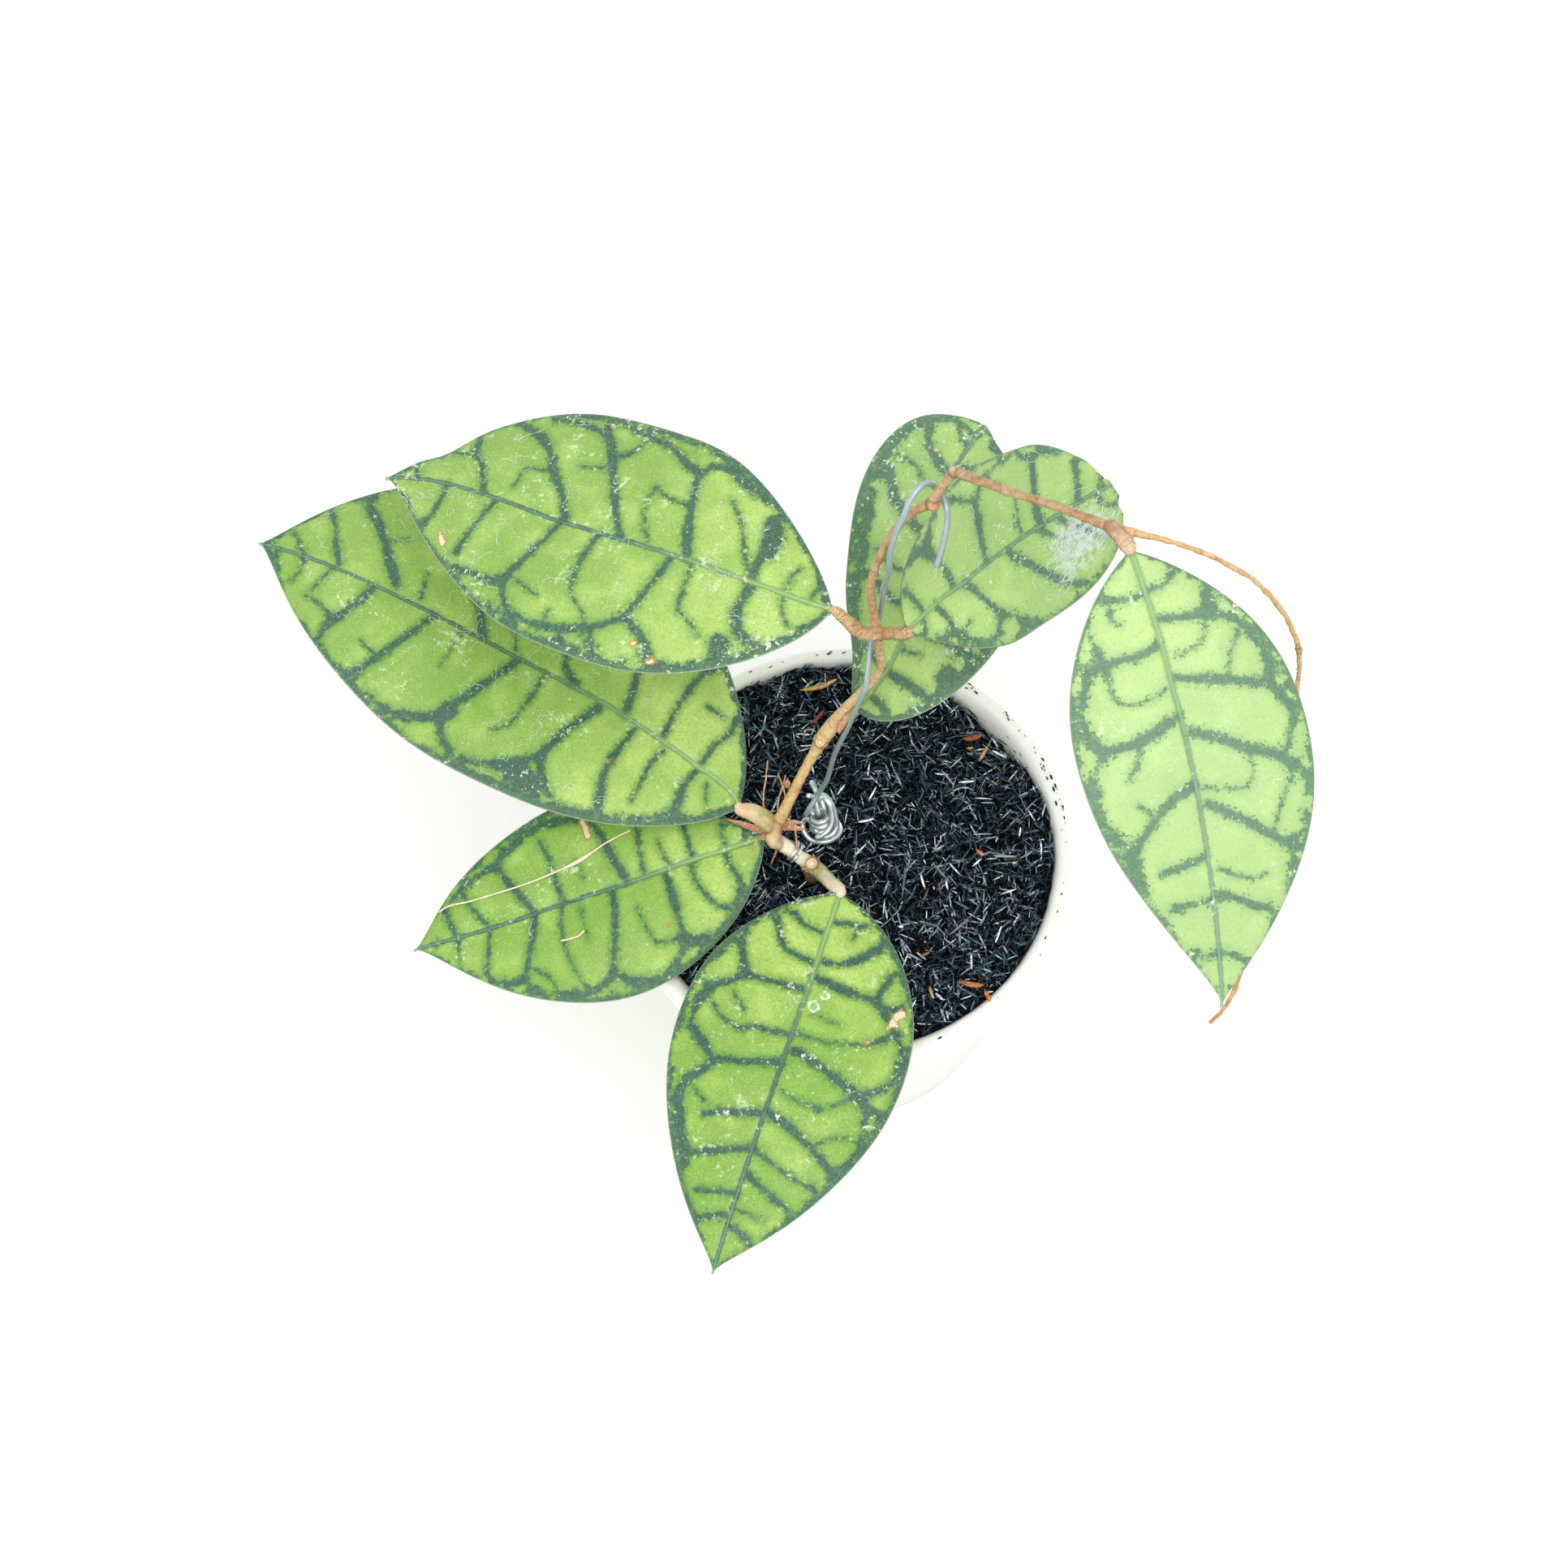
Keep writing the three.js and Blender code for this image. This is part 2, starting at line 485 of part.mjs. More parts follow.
function substrateSolid() {
  const random = seeded(HUSK_SEED);
  const low = FLOOR + GAP;
  const points = [[0, 0, fillLevel(0, 0)]];
  const triangles = [];
  const around = (k) => (2 * Math.PI * k) / FILL_SIDES;
  const ring = (n, k) => 1 + n * FILL_SIDES + (k % FILL_SIDES);
  for (let n = 0; n < RINGS; n += 1) {
    const edge = n === RINGS - 1;
    const share = (n + 1) / RINGS;
    for (let k = 0; k < FILL_SIDES; k += 1) {
      const [c, s] = [Math.cos(around(k)), Math.sin(around(k))];
      const reach = boreRadius(FILL_HEIGHT) * share;
      const z = fillLevel(reach * c, reach * s) + (edge ? 0 : GRAIN * (2 * random() - 1));
      const r = edge ? boreRadius(z) - GAP : (boreRadius(z) - GAP) * share;
      points.push([r * c, r * s, z]);
    }
  }
  for (let k = 0; k < FILL_SIDES; k += 1) {
    const r = boreRadius(low) - 1.2 - GAP;
    points.push([r * Math.cos(around(k)), r * Math.sin(around(k)), low]);
  }
  points.push([0, 0, low]);
  const floor = points.length - 1;
  for (let k = 0; k < FILL_SIDES; k += 1) {
    triangles.push([0, ring(0, k), ring(0, k + 1)]);
    for (let n = 0; n < RINGS; n += 1) {
      const [a, b] = [ring(n, k), ring(n, k + 1)];
      const [d, c] = [ring(n + 1, k), ring(n + 1, k + 1)];
      triangles.push([a, d, c], [a, c, b]);
    }
    triangles.push([floor, ring(RINGS, k + 1), ring(RINGS, k)]);
  }
  const husks = [];
  while (husks.length < HUSKS) {
    const angle = 2 * Math.PI * random();
    const r = (boreRadius(POT_HEIGHT - HOLLOW_DEPTH) - HUSK_LENGTH) * Math.sqrt(random());
    const [x, y] = [r * Math.cos(angle), r * Math.sin(angle)];
    const piece = husk([x, y, fillLevel(x, y)], random);
    const free = ([cx, cy]) => Math.hypot(x - cx, y - cy) > HUSK_CLEAR;
    if (free(ROOT_STOCK[1]) && free(COIL_FOOT)) husks.push(piece);
  }
  const filled = wasm.Manifold.union([solid(meshGeometry(points, triangles)), ...husks.map(solid)]);
  const stemHole = solid(rod(swollen(ROOT_STOCK, GAP + 0.1), 10, 1));
  const legHole = solid(rod(withRadius(legRoute(), WIRE_RADIUS + GAP + 0.1), 6, 2));
  return geometryOf(filled.subtract(stemHole).subtract(legHole).subtract(coilSeat()));
}

// The shallow seat that the wire's knot has pressed into the husk.
function coilSeat() {
  const reach = COIL_RADII[0] + WIRE_RADIUS + 2 * GAP;
  const tall = 2 * HUSK_LENGTH;
  const low = COIL_FOOT[2] - 2 * (WIRE_RADIUS + GAP);
  return solid(new THREE.CylinderGeometry(reach, reach, tall, 14).rotateX(Math.PI / 2)
    .translate(COIL_FOOT[0], COIL_FOOT[1], low + tall / 2));
}

// One husk: a slim boat with pointed ends, half sunk and tipped a little.
function husk([x, y, z], random) {
  const boat = new THREE.CylinderGeometry(0.5, 0.5, 1, 3, 1).rotateZ(Math.PI / 2);
  const place = boat.attributes.position;
  for (let i = 0; i < place.count; i += 1) {
    const end = Math.sign(place.getX(i));
    place.setXYZ(i, end * HUSK_LENGTH / 2, place.getY(i) * HUSK_WIDTH, place.getZ(i) * HUSK_WIDTH);
  }
  return boat.rotateX(2 * Math.PI * random()).rotateY(0.5 * (random() - 0.5))
    .rotateZ(2 * Math.PI * random()).translate(x, y, z + 0.5);
}

// ---------------------------------------------------------------- loose fibre
function fibreSolid() {
  const leaf = LEAVES.leaf_left_rim;
  const route = new THREE.CatmullRomCurve3(FIBRE_ROUTE.map(([t, s]) => new THREE.Vector3(t, s, 0)));
  const lift = BLADE / 2 + GAP + 0.15 + FIBRE_RADIUS;
  const points = [];
  const steps = 12;
  for (let i = 0; i <= steps; i += 1) {
    const at = route.getPoint(i / steps);
    const { centre, normal } = leafPoint(leaf, at.x, at.y);
    points.push(centre.addScaledVector(normal, lift).toArray());
  }
  return rod(withRadius(points, FIBRE_RADIUS), 5, 1);
}

// ---------------------------------------------------------------- the plant
const plant = new THREE.Group();

function add(name, geometry, finish) {
  const mesh = new THREE.Mesh(geometry, new THREE.MeshStandardMaterial(FINISH[finish]));
  mesh.name = name;
  plant.add(mesh);
}

add('pot', potSolid(), 'pot');
add('substrate', substrateSolid(), 'substrate');
add('vine', vineSolid(), 'vine');
for (const [name, leaf] of Object.entries(LEAVES)) add(name, leafSolid(leaf), 'leaf');
add('wire_support', supportSolid(), 'wire');
add('wire_tie', tieSolid(), 'wire');
add('dry_fibre', fibreSolid(), 'fibre');

export default plant;
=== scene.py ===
"""A potted hoya with netted leaves, led up a bent wire, in a white nursery pot of charred rice husk."""

import math
from functools import partial

import bmesh
import bpy
import numpy as np
from bpy.props import FloatProperty, FloatVectorProperty, IntProperty, PointerProperty
from mathutils import Matrix, Vector


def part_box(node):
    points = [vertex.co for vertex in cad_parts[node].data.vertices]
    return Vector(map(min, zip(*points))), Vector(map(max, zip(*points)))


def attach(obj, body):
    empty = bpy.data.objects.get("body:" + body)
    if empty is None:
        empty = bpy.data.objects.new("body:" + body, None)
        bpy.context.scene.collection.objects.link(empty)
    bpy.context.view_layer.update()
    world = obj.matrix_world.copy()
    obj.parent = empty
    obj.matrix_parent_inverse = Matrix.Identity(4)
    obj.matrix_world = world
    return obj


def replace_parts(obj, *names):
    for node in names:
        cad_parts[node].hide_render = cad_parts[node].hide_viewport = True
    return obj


bl_info = {
    "name": "Potted Hoya",
    "version": (1, 0, 0),
    "blender": (4, 5, 0),
    "location": "3D View > Sidebar > Hoya",
    "description": "Builds a potted hoya piece by piece, with its pot, husk, vine, leaves and wires",
    "category": "Add Mesh",
}

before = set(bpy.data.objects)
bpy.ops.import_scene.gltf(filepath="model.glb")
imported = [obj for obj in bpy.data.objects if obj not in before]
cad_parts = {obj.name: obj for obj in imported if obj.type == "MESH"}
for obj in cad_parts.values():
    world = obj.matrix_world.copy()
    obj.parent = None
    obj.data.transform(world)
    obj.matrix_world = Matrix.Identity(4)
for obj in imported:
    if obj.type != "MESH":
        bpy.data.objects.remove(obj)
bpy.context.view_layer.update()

# Every list and constant below is in millimetres, +Z up, with the origin under the pot's middle.
MM = 0.001

# ---------------------------------------------------------------- pot
POT_LOW, POT_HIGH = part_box("pot")
RIM_RADIUS = (POT_HIGH.x - POT_LOW.x) / 2 / MM
POT_HEIGHT = POT_HIGH.z / MM
BASE_RADIUS = 42.5
LIP_INNER_RADIUS = 57.4
LIP_THICK = 2
LIP_ROLL = 1.3                     # radius of the lip's outer rounding
FLOOR = 2.2
BEVEL = 0.4
SKIRT_DROP = 11
SKIRT_WALL = 1.4
DRAIN_HOLES = 8
DRAIN_RADIUS = 4
DRAIN_CIRCLE = 29
DRILL_SIDES = 32
DRILL_ENDS = (-4, 6)
SHARP = math.radians(40)           # edges that turn more than this are shaded sharp

# ---------------------------------------------------------------- husk
FILL_HEIGHT = 98.3
FILL_SAG = 4.6
HOLLOW_DEPTH = 6.5
HOLLOW_BEARING = 36
HOLLOW_SPREAD = 17
STEM_DIP = 4.5
STEM_DIP_AT = (-11, -9)
STEM_DIP_RADIUS = 9
EDGE_CLOD = 1.5
EDGE_CLOD_SIZE = 2.6
WALL_GAP = 0.3                     # clear space between the fill and the pot
BED_RINGS = 60
BED_SIDES = 240
BED_LUMPS = ((0.7, 2.2, 3), (0.5, 1, 4))    # height, size and seed
BED_DROP = 0.3                     # how far the bed lies under the fill's level
BED_TONE = "#06090C"
FINES_FINISH = (0.7, 0.1)          # least roughness and specular level
HUSK_FINISH = (0.24, 0.5)
# After the user's char come these tones and then the user's ash and a brown, with the share of each.
# The lighter blue-grey tones and the ash stand partly for glints: a painted gleam over the husks' own grey.
HUSK_GREYS_AND_GLINTS = ("#1A2A36", "#485C6C", "#8EA0AA")
BROWN_HUSK = "#7A5230"
HUSK_SHARES = (0.34, 0.26, 0.205, 0.135, 0.055, 0.005)
HUSK_TILT = math.radians(22)
RIM_CRUMBS = 150
CRUMB_SPREAD = 0.6                 # radians either side of the hollow
CRUMB_LEAST, CRUMB_MORE = 0.5, 1.2    # the shortest crumb, and how much longer the longest is
CRUMB_LIFT = 0.12
RIM_BELT = 1.6                     # breadth of the lip's flat that holds crumbs
BARE_WALL = (2.4, 7)               # crumbs on the wall start this far down, and reach this much further

# ---------------------------------------------------------------- leaves
# base and tip end the midrib. rise lifts and bow shifts its two inner handles, half holds the two half
# widths, and shape the two powers that set where the blade is broadest. A notch is a share along the
# blade, its side, its depth and its span. end is where a torn blade stops. pale lightens the whole blade,
# net is how heavy its veins are drawn, margin is how broad its dark edge is, and age is how flecked it is.
# drops are rings that water has left, each a place and a radius, and haze is where a web whitens it.
# spine, veins and scars are drawn in percent: along from base to tip, and across from -100 to 100.
# spine gives how far across the midrib runs at each tenth of the length. Each vein and each scar is
# its width in millimetres and then its points, along and across by turns.
USUAL_LEAF = {
    "roll": 0, "twist": 0, "fold": 0.1, "curl": 0.16, "notches": (), "scars": (), "drops": (), "end": 1,
}
LEAVES = {
    "leaf_left_upper": {
        "base": (0, 25, 187), "tip": (-109, 82, 170), "rise": (8, 9), "bow": (7, -7), "half": (33.5, 34),
        "shape": (0.75, 0.9), "wave": 1.1, "waves": 2.6, "phase": 0.1, "notches": ((0.9, -1, 0.27, 0.045),),
        "pale": 0.14, "net": 0.78, "margin": 3.1, "age": 1, "spine": (-2, -5, -5, -3, 0, 4, 7, 6, 4, 0, 0),
        "veins": (
            (0.8, 9.5, 5, 9, 20, 7.5, 45, 5, 80), (2.6, 16, 0, 16.5, 25, 15.5, 50, 12, 75, 10, 95),
            (4.5, 17, 72, 16, 92), (1.2, 28.5, 0, 27.5, 25, 26.5, 42, 24, 50, 21.5, 62),
            (1.8, 33, 2, 33.5, 25, 34.5, 50, 35, 60), (2, 35, 60, 31, 70, 28, 85, 27, 97),
            (1.8, 35, 60, 38, 70, 41, 78, 47, 86, 55, 91, 62, 95), (2, 40, 78, 38, 90, 37, 100),
            (1.6, 48.5, 4, 48.7, 30, 48, 45), (0.6, 48, 45, 47, 55, 45.5, 60, 43, 66, 41, 75),
            (0.8, 49, 90, 49, 75), (2, 57, 6, 58, 25, 59.5, 45, 61, 60, 62, 70),
            (1.6, 62, 70, 60, 82, 56, 90), (1.6, 62, 70, 65, 77, 70, 83, 74, 90),
            (0.6, 61, 64, 57, 66, 53, 68), (1.6, 72.5, 8, 73.5, 30, 74.5, 55, 75, 75),
            (2.2, 85, 6, 84.5, 25, 85, 60, 86.5, 95), (1, 4.5, -5, 4, -30, 3, -70),
            (0.8, 9.5, -8, 9, -40, 8, -60), (3, 16.5, -5, 16.5, -40, 16, -90),
            (4.6, 15.5, -44, 16, -62, 17.5, -76), (3.6, 30, -93, 24, -90),
            (1.2, 17.5, -15, 20, -30, 21.5, -42, 23, -52, 25, -60, 27.5, -66),
            (2.2, 30, -4, 31.5, -15, 33.5, -35, 35, -50, 36, -60, 37, -72),
            (2, 37, -72, 41, -76, 45, -83, 51, -88, 58, -94), (2, 36.5, -75, 34, -86, 25, -91, 15, -94),
            (1, 35.5, -43, 40, -43, 43.5, -46), (0.9, 39, -5, 41, -15, 43, -28, 43.5, -48),
            (2.2, 44.5, 0, 47, -12, 50, -28, 53, -45, 55, -57, 57, -70, 59.5, -82, 60, -97),
            (0.8, 54.5, -50, 57, -46, 59.5, -44), (1.2, 55, -59, 53, -65, 52, -72, 51, -85, 50, -95),
            (2.4, 57, 0, 60, -15, 64, -32, 67, -50, 70, -65, 74, -80, 77, -95),
            (0.7, 64, -35, 67, -33, 70, -32, 70.5, -10), (1.5, 60, -80, 64, -86, 70, -92),
            (2.2, 76.5, 0, 78, -15, 80, -35, 82, -50, 83, -70, 84, -97), (1.2, 82, -50, 85, -60, 87, -80),
            (1.5, 92, 0, 93, -30, 94, -70),
        ),
        "scars": ((0.5, 79, 81, 81, 71), (0.8, 27, 90, 27.5, 91), (0.7, 31, 78, 31.5, 79)),
    },
    "leaf_left_lower": {
        "base": (-27, 8.5, 113.5), "tip": (-146, 79, 148), "rise": (5, 10), "bow": (-6, -8),
        "half": (36, 47), "shape": (0.71, 0.77), "roll": -4, "wave": 1.2, "waves": 2.2, "phase": 0.4,
        "pale": 0.11, "net": 0.8, "margin": 3, "age": 0.85, "spine": (-22, -8, -5, -3, 0, 3, 4, 4, 2, 0, 0),
        "veins": (
            (0.7, 7, 5, 6, 25, 5, 45, 3, 70), (2.2, 10, -3, 10.3, 25, 9.5, 50, 8.5, 75, 6, 95),
            (1.5, 8.5, 78, 12, 87, 15, 94), (1.2, 17, 0, 17.5, 20, 17, 45, 16.5, 70),
            (2.2, 23.5, 0, 23.8, 25, 23.5, 50, 22, 70, 20.5, 85, 19, 97),
            (2.2, 31, 2, 32.5, 20, 34, 40, 35, 60), (2, 35, 60, 33, 75, 30, 88),
            (2.4, 35, 62, 38, 75, 42, 85, 47, 92), (7, 34, 90, 37, 82),
            (1.2, 42.5, 5, 42.5, 30, 43, 50, 45, 62), (2.6, 48, 5, 50, 25, 52, 45, 54, 60, 55, 70),
            (4, 54, 66, 54.3, 70), (2, 55, 70, 53, 83, 50, 90), (2, 55, 72, 58, 80, 62, 88, 68, 94),
            (0.7, 59.5, 8, 59.5, 40), (2.4, 65.5, 5, 67, 25, 69, 45, 71, 65, 72.5, 80, 74, 92),
            (0.8, 71, 62, 75, 60), (2.4, 77.5, 5, 78.5, 25, 80, 45, 81.5, 65, 82.5, 85, 83, 100),
            (1, 82, 60, 86, 58, 88, 64), (1, 86, 5, 86.5, 25, 87.5, 50), (1, 91, 5, 91, 40, 92, 70),
            (1.2, 96, 0, 96, 40, 95, 80), (1.6, 10, -10, 10, -40, 9, -70, 9.5, -90),
            (1.8, 18.5, -8, 19.3, -30, 19.5, -60, 18.5, -80, 17, -97), (0.8, 15, -58, 12, -68),
            (1.8, 26.5, -5, 28, -25, 30, -40, 32, -60, 33, -85),
            (2, 37, -3, 40, -8, 41, -15, 44, -40, 46, -65, 48, -90), (0.9, 49.5, -2, 51, -10, 52, -14),
            (2.4, 56, 0, 58.5, -12, 60, -18, 64, -45, 67, -75, 68, -95), (0.8, 69, -3, 69.5, -12, 70, -20),
            (2.6, 74, -5, 77, -20, 80, -40, 82, -55, 84, -70, 86, -95), (0.8, 79, -38, 76, -42),
            (1.8, 85, -5, 87, -25, 88.5, -50, 90, -75, 91, -95), (1.2, 92, -5, 94, -40, 95, -75),
        ),
        "scars": ((0.7, 24, 40, 24.4, 41),),
    },
    "leaf_left_rim": {
        "base": (-21, 2, 107), "tip": (-114.5, -19.5, 101), "rise": (4, 5), "bow": (4.5, -1.5),
        "half": (29, 26), "shape": (0.84, 0.97), "roll": 7, "curl": 0.12, "wave": 0.9, "waves": 2.4,
        "phase": 0.7, "pale": 0.06, "net": 0.62, "margin": 1.7, "age": 0.65,
        "spine": (-6, -6, -6, -3, 0, 1, 3, 6, 9, 11, 11),
        "veins": (
            (2.4, 11.5, 0, 11.3, 25, 10.8, 50, 10, 75, 9, 95),
            (1.8, 10.8, 75, 12.5, 88, 17, 95, 22, 92, 25, 84),
            (1.4, 21.5, -2, 21.5, 20, 20, 45, 18, 65, 15.5, 82), (2.6, 28.5, 0, 28.5, 25, 28.7, 50, 29, 68),
            (2.4, 29, 70, 26, 80, 23, 90), (3.6, 27.5, 79, 28.5, 81),
            (1.8, 29, 72, 31, 85, 34, 92, 40, 93, 44, 88, 47, 80), (1.2, 30, 69, 33, 66, 36, 62),
            (0.6, 36, 62, 37.5, 45, 38.5, 25), (2.4, 43.5, 2, 44.5, 25, 46, 45, 47.5, 60, 48.5, 72, 50, 80),
            (1.6, 48.5, 75, 45, 86, 42, 92), (2, 50, 80, 54, 88, 60, 92, 66, 94, 70, 92),
            (0.8, 51, 82, 50, 92), (1.2, 58, 3, 59, 20, 59.5, 40, 59, 60, 57.5, 78, 56.5, 88),
            (0.5, 53, 10, 53, 40), (2.2, 65.5, 5, 67, 25, 69, 45, 71, 65, 72.5, 78),
            (1.2, 72.5, 78, 71.5, 88, 73, 97), (2, 73, 80, 77, 88, 82, 94),
            (0.8, 70, 65, 67, 70, 65, 78, 65, 88), (1.4, 78, 8, 79.5, 30, 81, 60, 82.5, 85),
            (1.2, 87, 12, 88, 40, 89, 80), (1, 93, 10, 94, 40), (1, 5, -15, 4, -60),
            (1.4, 10.5, -8, 10.5, -40, 9.5, -70), (2, 19.8, -5, 20, -25, 19.7, -55, 19, -90),
            (0.7, 26, -5, 27.5, -20, 27.8, -40), (1.6, 34, -3, 33.8, -20, 33, -45, 32.5, -55),
            (2.4, 39, -3, 40.5, -20, 42, -42, 43, -60, 45, -75), (0.6, 50.5, -18, 51, -35),
            (1.8, 57, -2, 57.8, -20, 58, -40, 58.5, -55, 59.5, -70),
            (2.2, 66, -2, 68, -20, 70, -40, 71.5, -58, 72.5, -72),
            (2.4, 48, -78, 53, -84, 60, -88, 67, -85, 71, -78, 72.5, -70),
            (2.4, 72.5, -68, 75, -75, 80, -80, 86, -82), (1.4, 79, -2, 80.5, -20, 82, -45, 82.8, -70),
            (1.4, 87.5, -2, 88, -25, 88.5, -55, 88.5, -75),
        ),
        "scars": ((1.3, 46.7, -75, 46.3, -66, 46.3, -58), (0.7, 31.5, 52, 32, 53)),
    },
    "leaf_front": {
        "base": (-2.5, -16, 107.5), "tip": (-42, -111, 100), "rise": (7, 8), "bow": (2, 0),
        "half": (30, 30), "shape": (0.66, 0.94), "roll": 3, "fold": 0.08, "curl": 0.14, "wave": 1,
        "waves": 2.8, "phase": 0.2, "pale": 0.03, "net": 0.76, "margin": 2.3, "age": 0.95,
        "spine": (0, -2, -2, -2, -2, -2, -2, -2, -2, -2, -2),
        "veins": (
            (2, 8, 5, 7.5, 30, 7, 55, 6, 80), (1, 8, 45, 11, 35),
            (2.2, 19, 5, 18.5, 22, 15.5, 45, 12.5, 65, 10, 85),
            (2.6, 23.5, 0, 24.5, 25, 24.8, 45, 25, 62, 27, 72), (1.8, 25, 62, 21, 70, 17, 83, 15, 95),
            (1.6, 26, 72, 25, 85, 23, 95), (1.8, 27, 73, 30, 80, 33, 88, 36, 94),
            (1, 38.5, 0, 38.8, 20, 38, 40, 36.5, 55), (1.6, 31, 84, 34, 72, 36.5, 60),
            (0.5, 33, 10, 33.5, 35), (2.4, 43, 5, 44.5, 25, 46.5, 45, 48, 62, 50, 76),
            (1.8, 48.5, 70, 45.5, 84, 42, 92, 38, 94), (2, 50, 76, 54, 84, 58, 91, 63, 95, 68, 94),
            (0.9, 50, 64, 53, 52, 55.5, 42), (0.6, 55, 42, 54.5, 20, 53.5, 5), (0.8, 51, 85, 50.5, 95),
            (2.4, 59.5, 0, 61, 20, 63, 40, 65, 58, 66.5, 70, 68, 84, 69, 92),
            (0.6, 63, 55, 60.5, 65, 59, 80), (1.4, 69, 90, 73, 95, 79, 95),
            (1.4, 69.5, 0, 71, 25, 72.5, 50, 73.5, 75, 74, 90),
            (2, 75.5, 5, 77.5, 30, 79, 55, 80.5, 80, 82, 92), (0.6, 84, 5, 84.5, 60),
            (1.6, 88, 5, 89, 40, 90, 70, 91, 90), (1.6, 11.5, -8, 11, -30, 9, -55, 7.5, -80),
            (1.8, 20, -3, 19.5, -20, 18.5, -38, 16, -50, 13, -62, 10.5, -78),
            (2.4, 27.5, -5, 27.8, -25, 28, -45, 28, -58), (2, 28, -60, 24, -70, 20, -82, 16, -92),
            (2.2, 28.5, -62, 31, -70, 33, -80, 36, -84), (1.4, 39.5, -3, 40.3, -20, 40.5, -35, 42, -44),
            (1, 42, -46, 40.5, -62, 38, -74, 36, -82), (0.8, 37, -48, 33.5, -62),
            (2.4, 47, -3, 48.5, -20, 50, -38, 51, -55), (2, 51, -62, 47.5, -74, 45, -85, 40, -88, 34, -86),
            (2.4, 52, -58, 55.5, -70, 59, -82, 64, -88, 70, -88, 74, -80),
            (2, 60, -2, 61.5, -20, 63, -42, 65, -60), (0.5, 62, -60, 60, -72),
            (2.4, 69, -3, 71, -25, 73, -50, 74.5, -70, 75.5, -80, 78, -88),
            (1.4, 80.5, -3, 81.3, -30, 82.3, -60, 83, -85),
            (1.8, 85.5, -3, 86.5, -25, 87.5, -50, 88, -70, 89, -88),
        ),
        "scars": ((1.3, 26, 89, 27, 84, 29, 83), (0.8, 28, 80, 30.5, 76), (0.8, 35, 62, 36, 60)),
        "drops": ((0.31, 0.08, 1.25), (0.275, 0.15, 0.9)),
    },
    "leaf_back": {
        "base": (5, 20.5, 141.5), "tip": (44, 83, 170), "rise": (6, 8), "bow": (-13, 9), "half": (21, 28),
        "shape": (0.57, 0.32), "twist": -25, "wave": 1.4, "waves": 2.2, "phase": 0.55,
        "notches": ((0.96, 1, 0.05, 0.03), (0.6, -1, 0.05, 0.03), (0.986, -1, 0.18, 0.006)), "pale": 0.45,
        "net": 0.85, "margin": 3.2, "age": 0.8, "spine": (0, 0, 0, 0, 0, 0, 0, 0, 0, 0, 0),
        "veins": (
            (1, 9, 40, 9, 60), (2, 15, 5, 17, 40, 20, 75), (2, 36, 5, 38, 35, 40, 45, 43, 62, 44, 75),
            (1.6, 46, 5, 48, 38, 49, 45, 52, 60), (2, 60, 5, 63, 30, 66, 42),
            (2.2, 66, 42, 68, 55, 71, 62, 75, 75, 78, 85, 82, 95), (1, 79.5, 75, 79, 50, 77, 35, 75, 25),
            (2.4, 81, 10, 83, 30, 86, 52, 90, 72, 93, 92), (1.2, 91.5, 5, 93, 30, 95, 60),
            (1.2, 96, 10, 96, 60), (3, 5, 85, 20, 86, 34, 88), (3.2, 36, 86, 47, 84, 58, 82, 68, 84),
            (2.6, 74, 88, 84, 90, 94, 90), (1.6, 6, -15, 6.5, -40, 6, -70),
            (2.4, 15, -5, 15.3, -30, 15.5, -55, 15, -80), (1, 23.5, -8, 24, -30), (3.4, 22, -75, 22.4, -77),
            (1.8, 30, -5, 30, -50, 29, -65, 29, -78, 26, -88, 20, -92, 15, -88),
            (2.2, 36, -4, 39, -25, 42, -50, 45, -80), (1.2, 46, -3, 48, -20, 50, -40),
            (2.2, 54, -3, 58, -30, 62, -60, 65, -85), (2, 70, -3, 74, -30, 78, -60, 80, -85),
            (1.6, 84, -3, 87, -30, 90, -60),
        ),
    },
    "leaf_right_upper": {
        "base": (18, 17.5, 188), "tip": (67, 27, 234), "rise": (3, 9), "bow": (10, -7), "half": (23, 22),
        "shape": (0.57, 0.55), "wave": 0.9, "waves": 2.5, "phase": 0.3, "end": 0.945, "pale": 0.5,
        "net": 0.74, "margin": 1, "age": 0.5, "spine": (-10, -15, -16, -17, -11, -6, 0, 4, 8, 11, 12),
        "veins": (
            (1.8, 9, -5, 8.5, 20, 8, 45, 7, 75),
            (2.2, 26, -12, 25.5, 5, 24.5, 20, 22, 40, 20.5, 55, 17.5, 72, 14, 88, 11, 100),
            (1.8, 20.5, 50, 22, 75, 24, 90), (2.2, 43, -8, 43, 15, 43.5, 40, 43, 58),
            (1.6, 43, 60, 39, 68, 35, 80, 32, 90), (1.4, 44, 62, 46, 75, 50, 86, 55, 92, 60, 96),
            (1, 59.5, 5, 59.5, 30, 60, 45), (0.6, 49, 75, 54, 62),
            (2.2, 68, 5, 67.5, 20, 68, 40, 69, 65, 69, 82), (1.4, 69, 84, 63, 90, 58, 94),
            (1.4, 69, 84, 74, 90, 82, 94), (1.8, 83, 10, 85, 35, 86.5, 65, 88, 92),
            (1.2, 92, 12, 93.5, 45, 95, 85), (1.2, 7, -20, 6.5, -40, 4, -65, 3, -85),
            (2.6, 15, -18, 16.5, -33, 18, -50, 18.5, -68, 19.5, -80), (2, 18.5, -76, 13, -80, 8, -88),
            (1, 21, -77, 26, -72, 29.5, -65), (1.8, 21, -82, 25, -90, 32, -94, 38, -91, 42, -82, 45, -70),
            (2.4, 31.5, -18, 35, -30, 39, -45, 42, -58, 45, -68),
            (2.2, 45, -68, 49, -74, 53, -83, 57, -92, 60, -98),
            (2, 53, -8, 56, -18, 60, -30, 65, -48, 70, -68, 73, -80, 77, -92),
            (1.2, 67, -3, 71, -15, 75, -28), (1.6, 75, 0, 79, -18, 83, -40, 86, -65),
            (1.4, 89, 0, 91, -25, 93, -55),
        ),
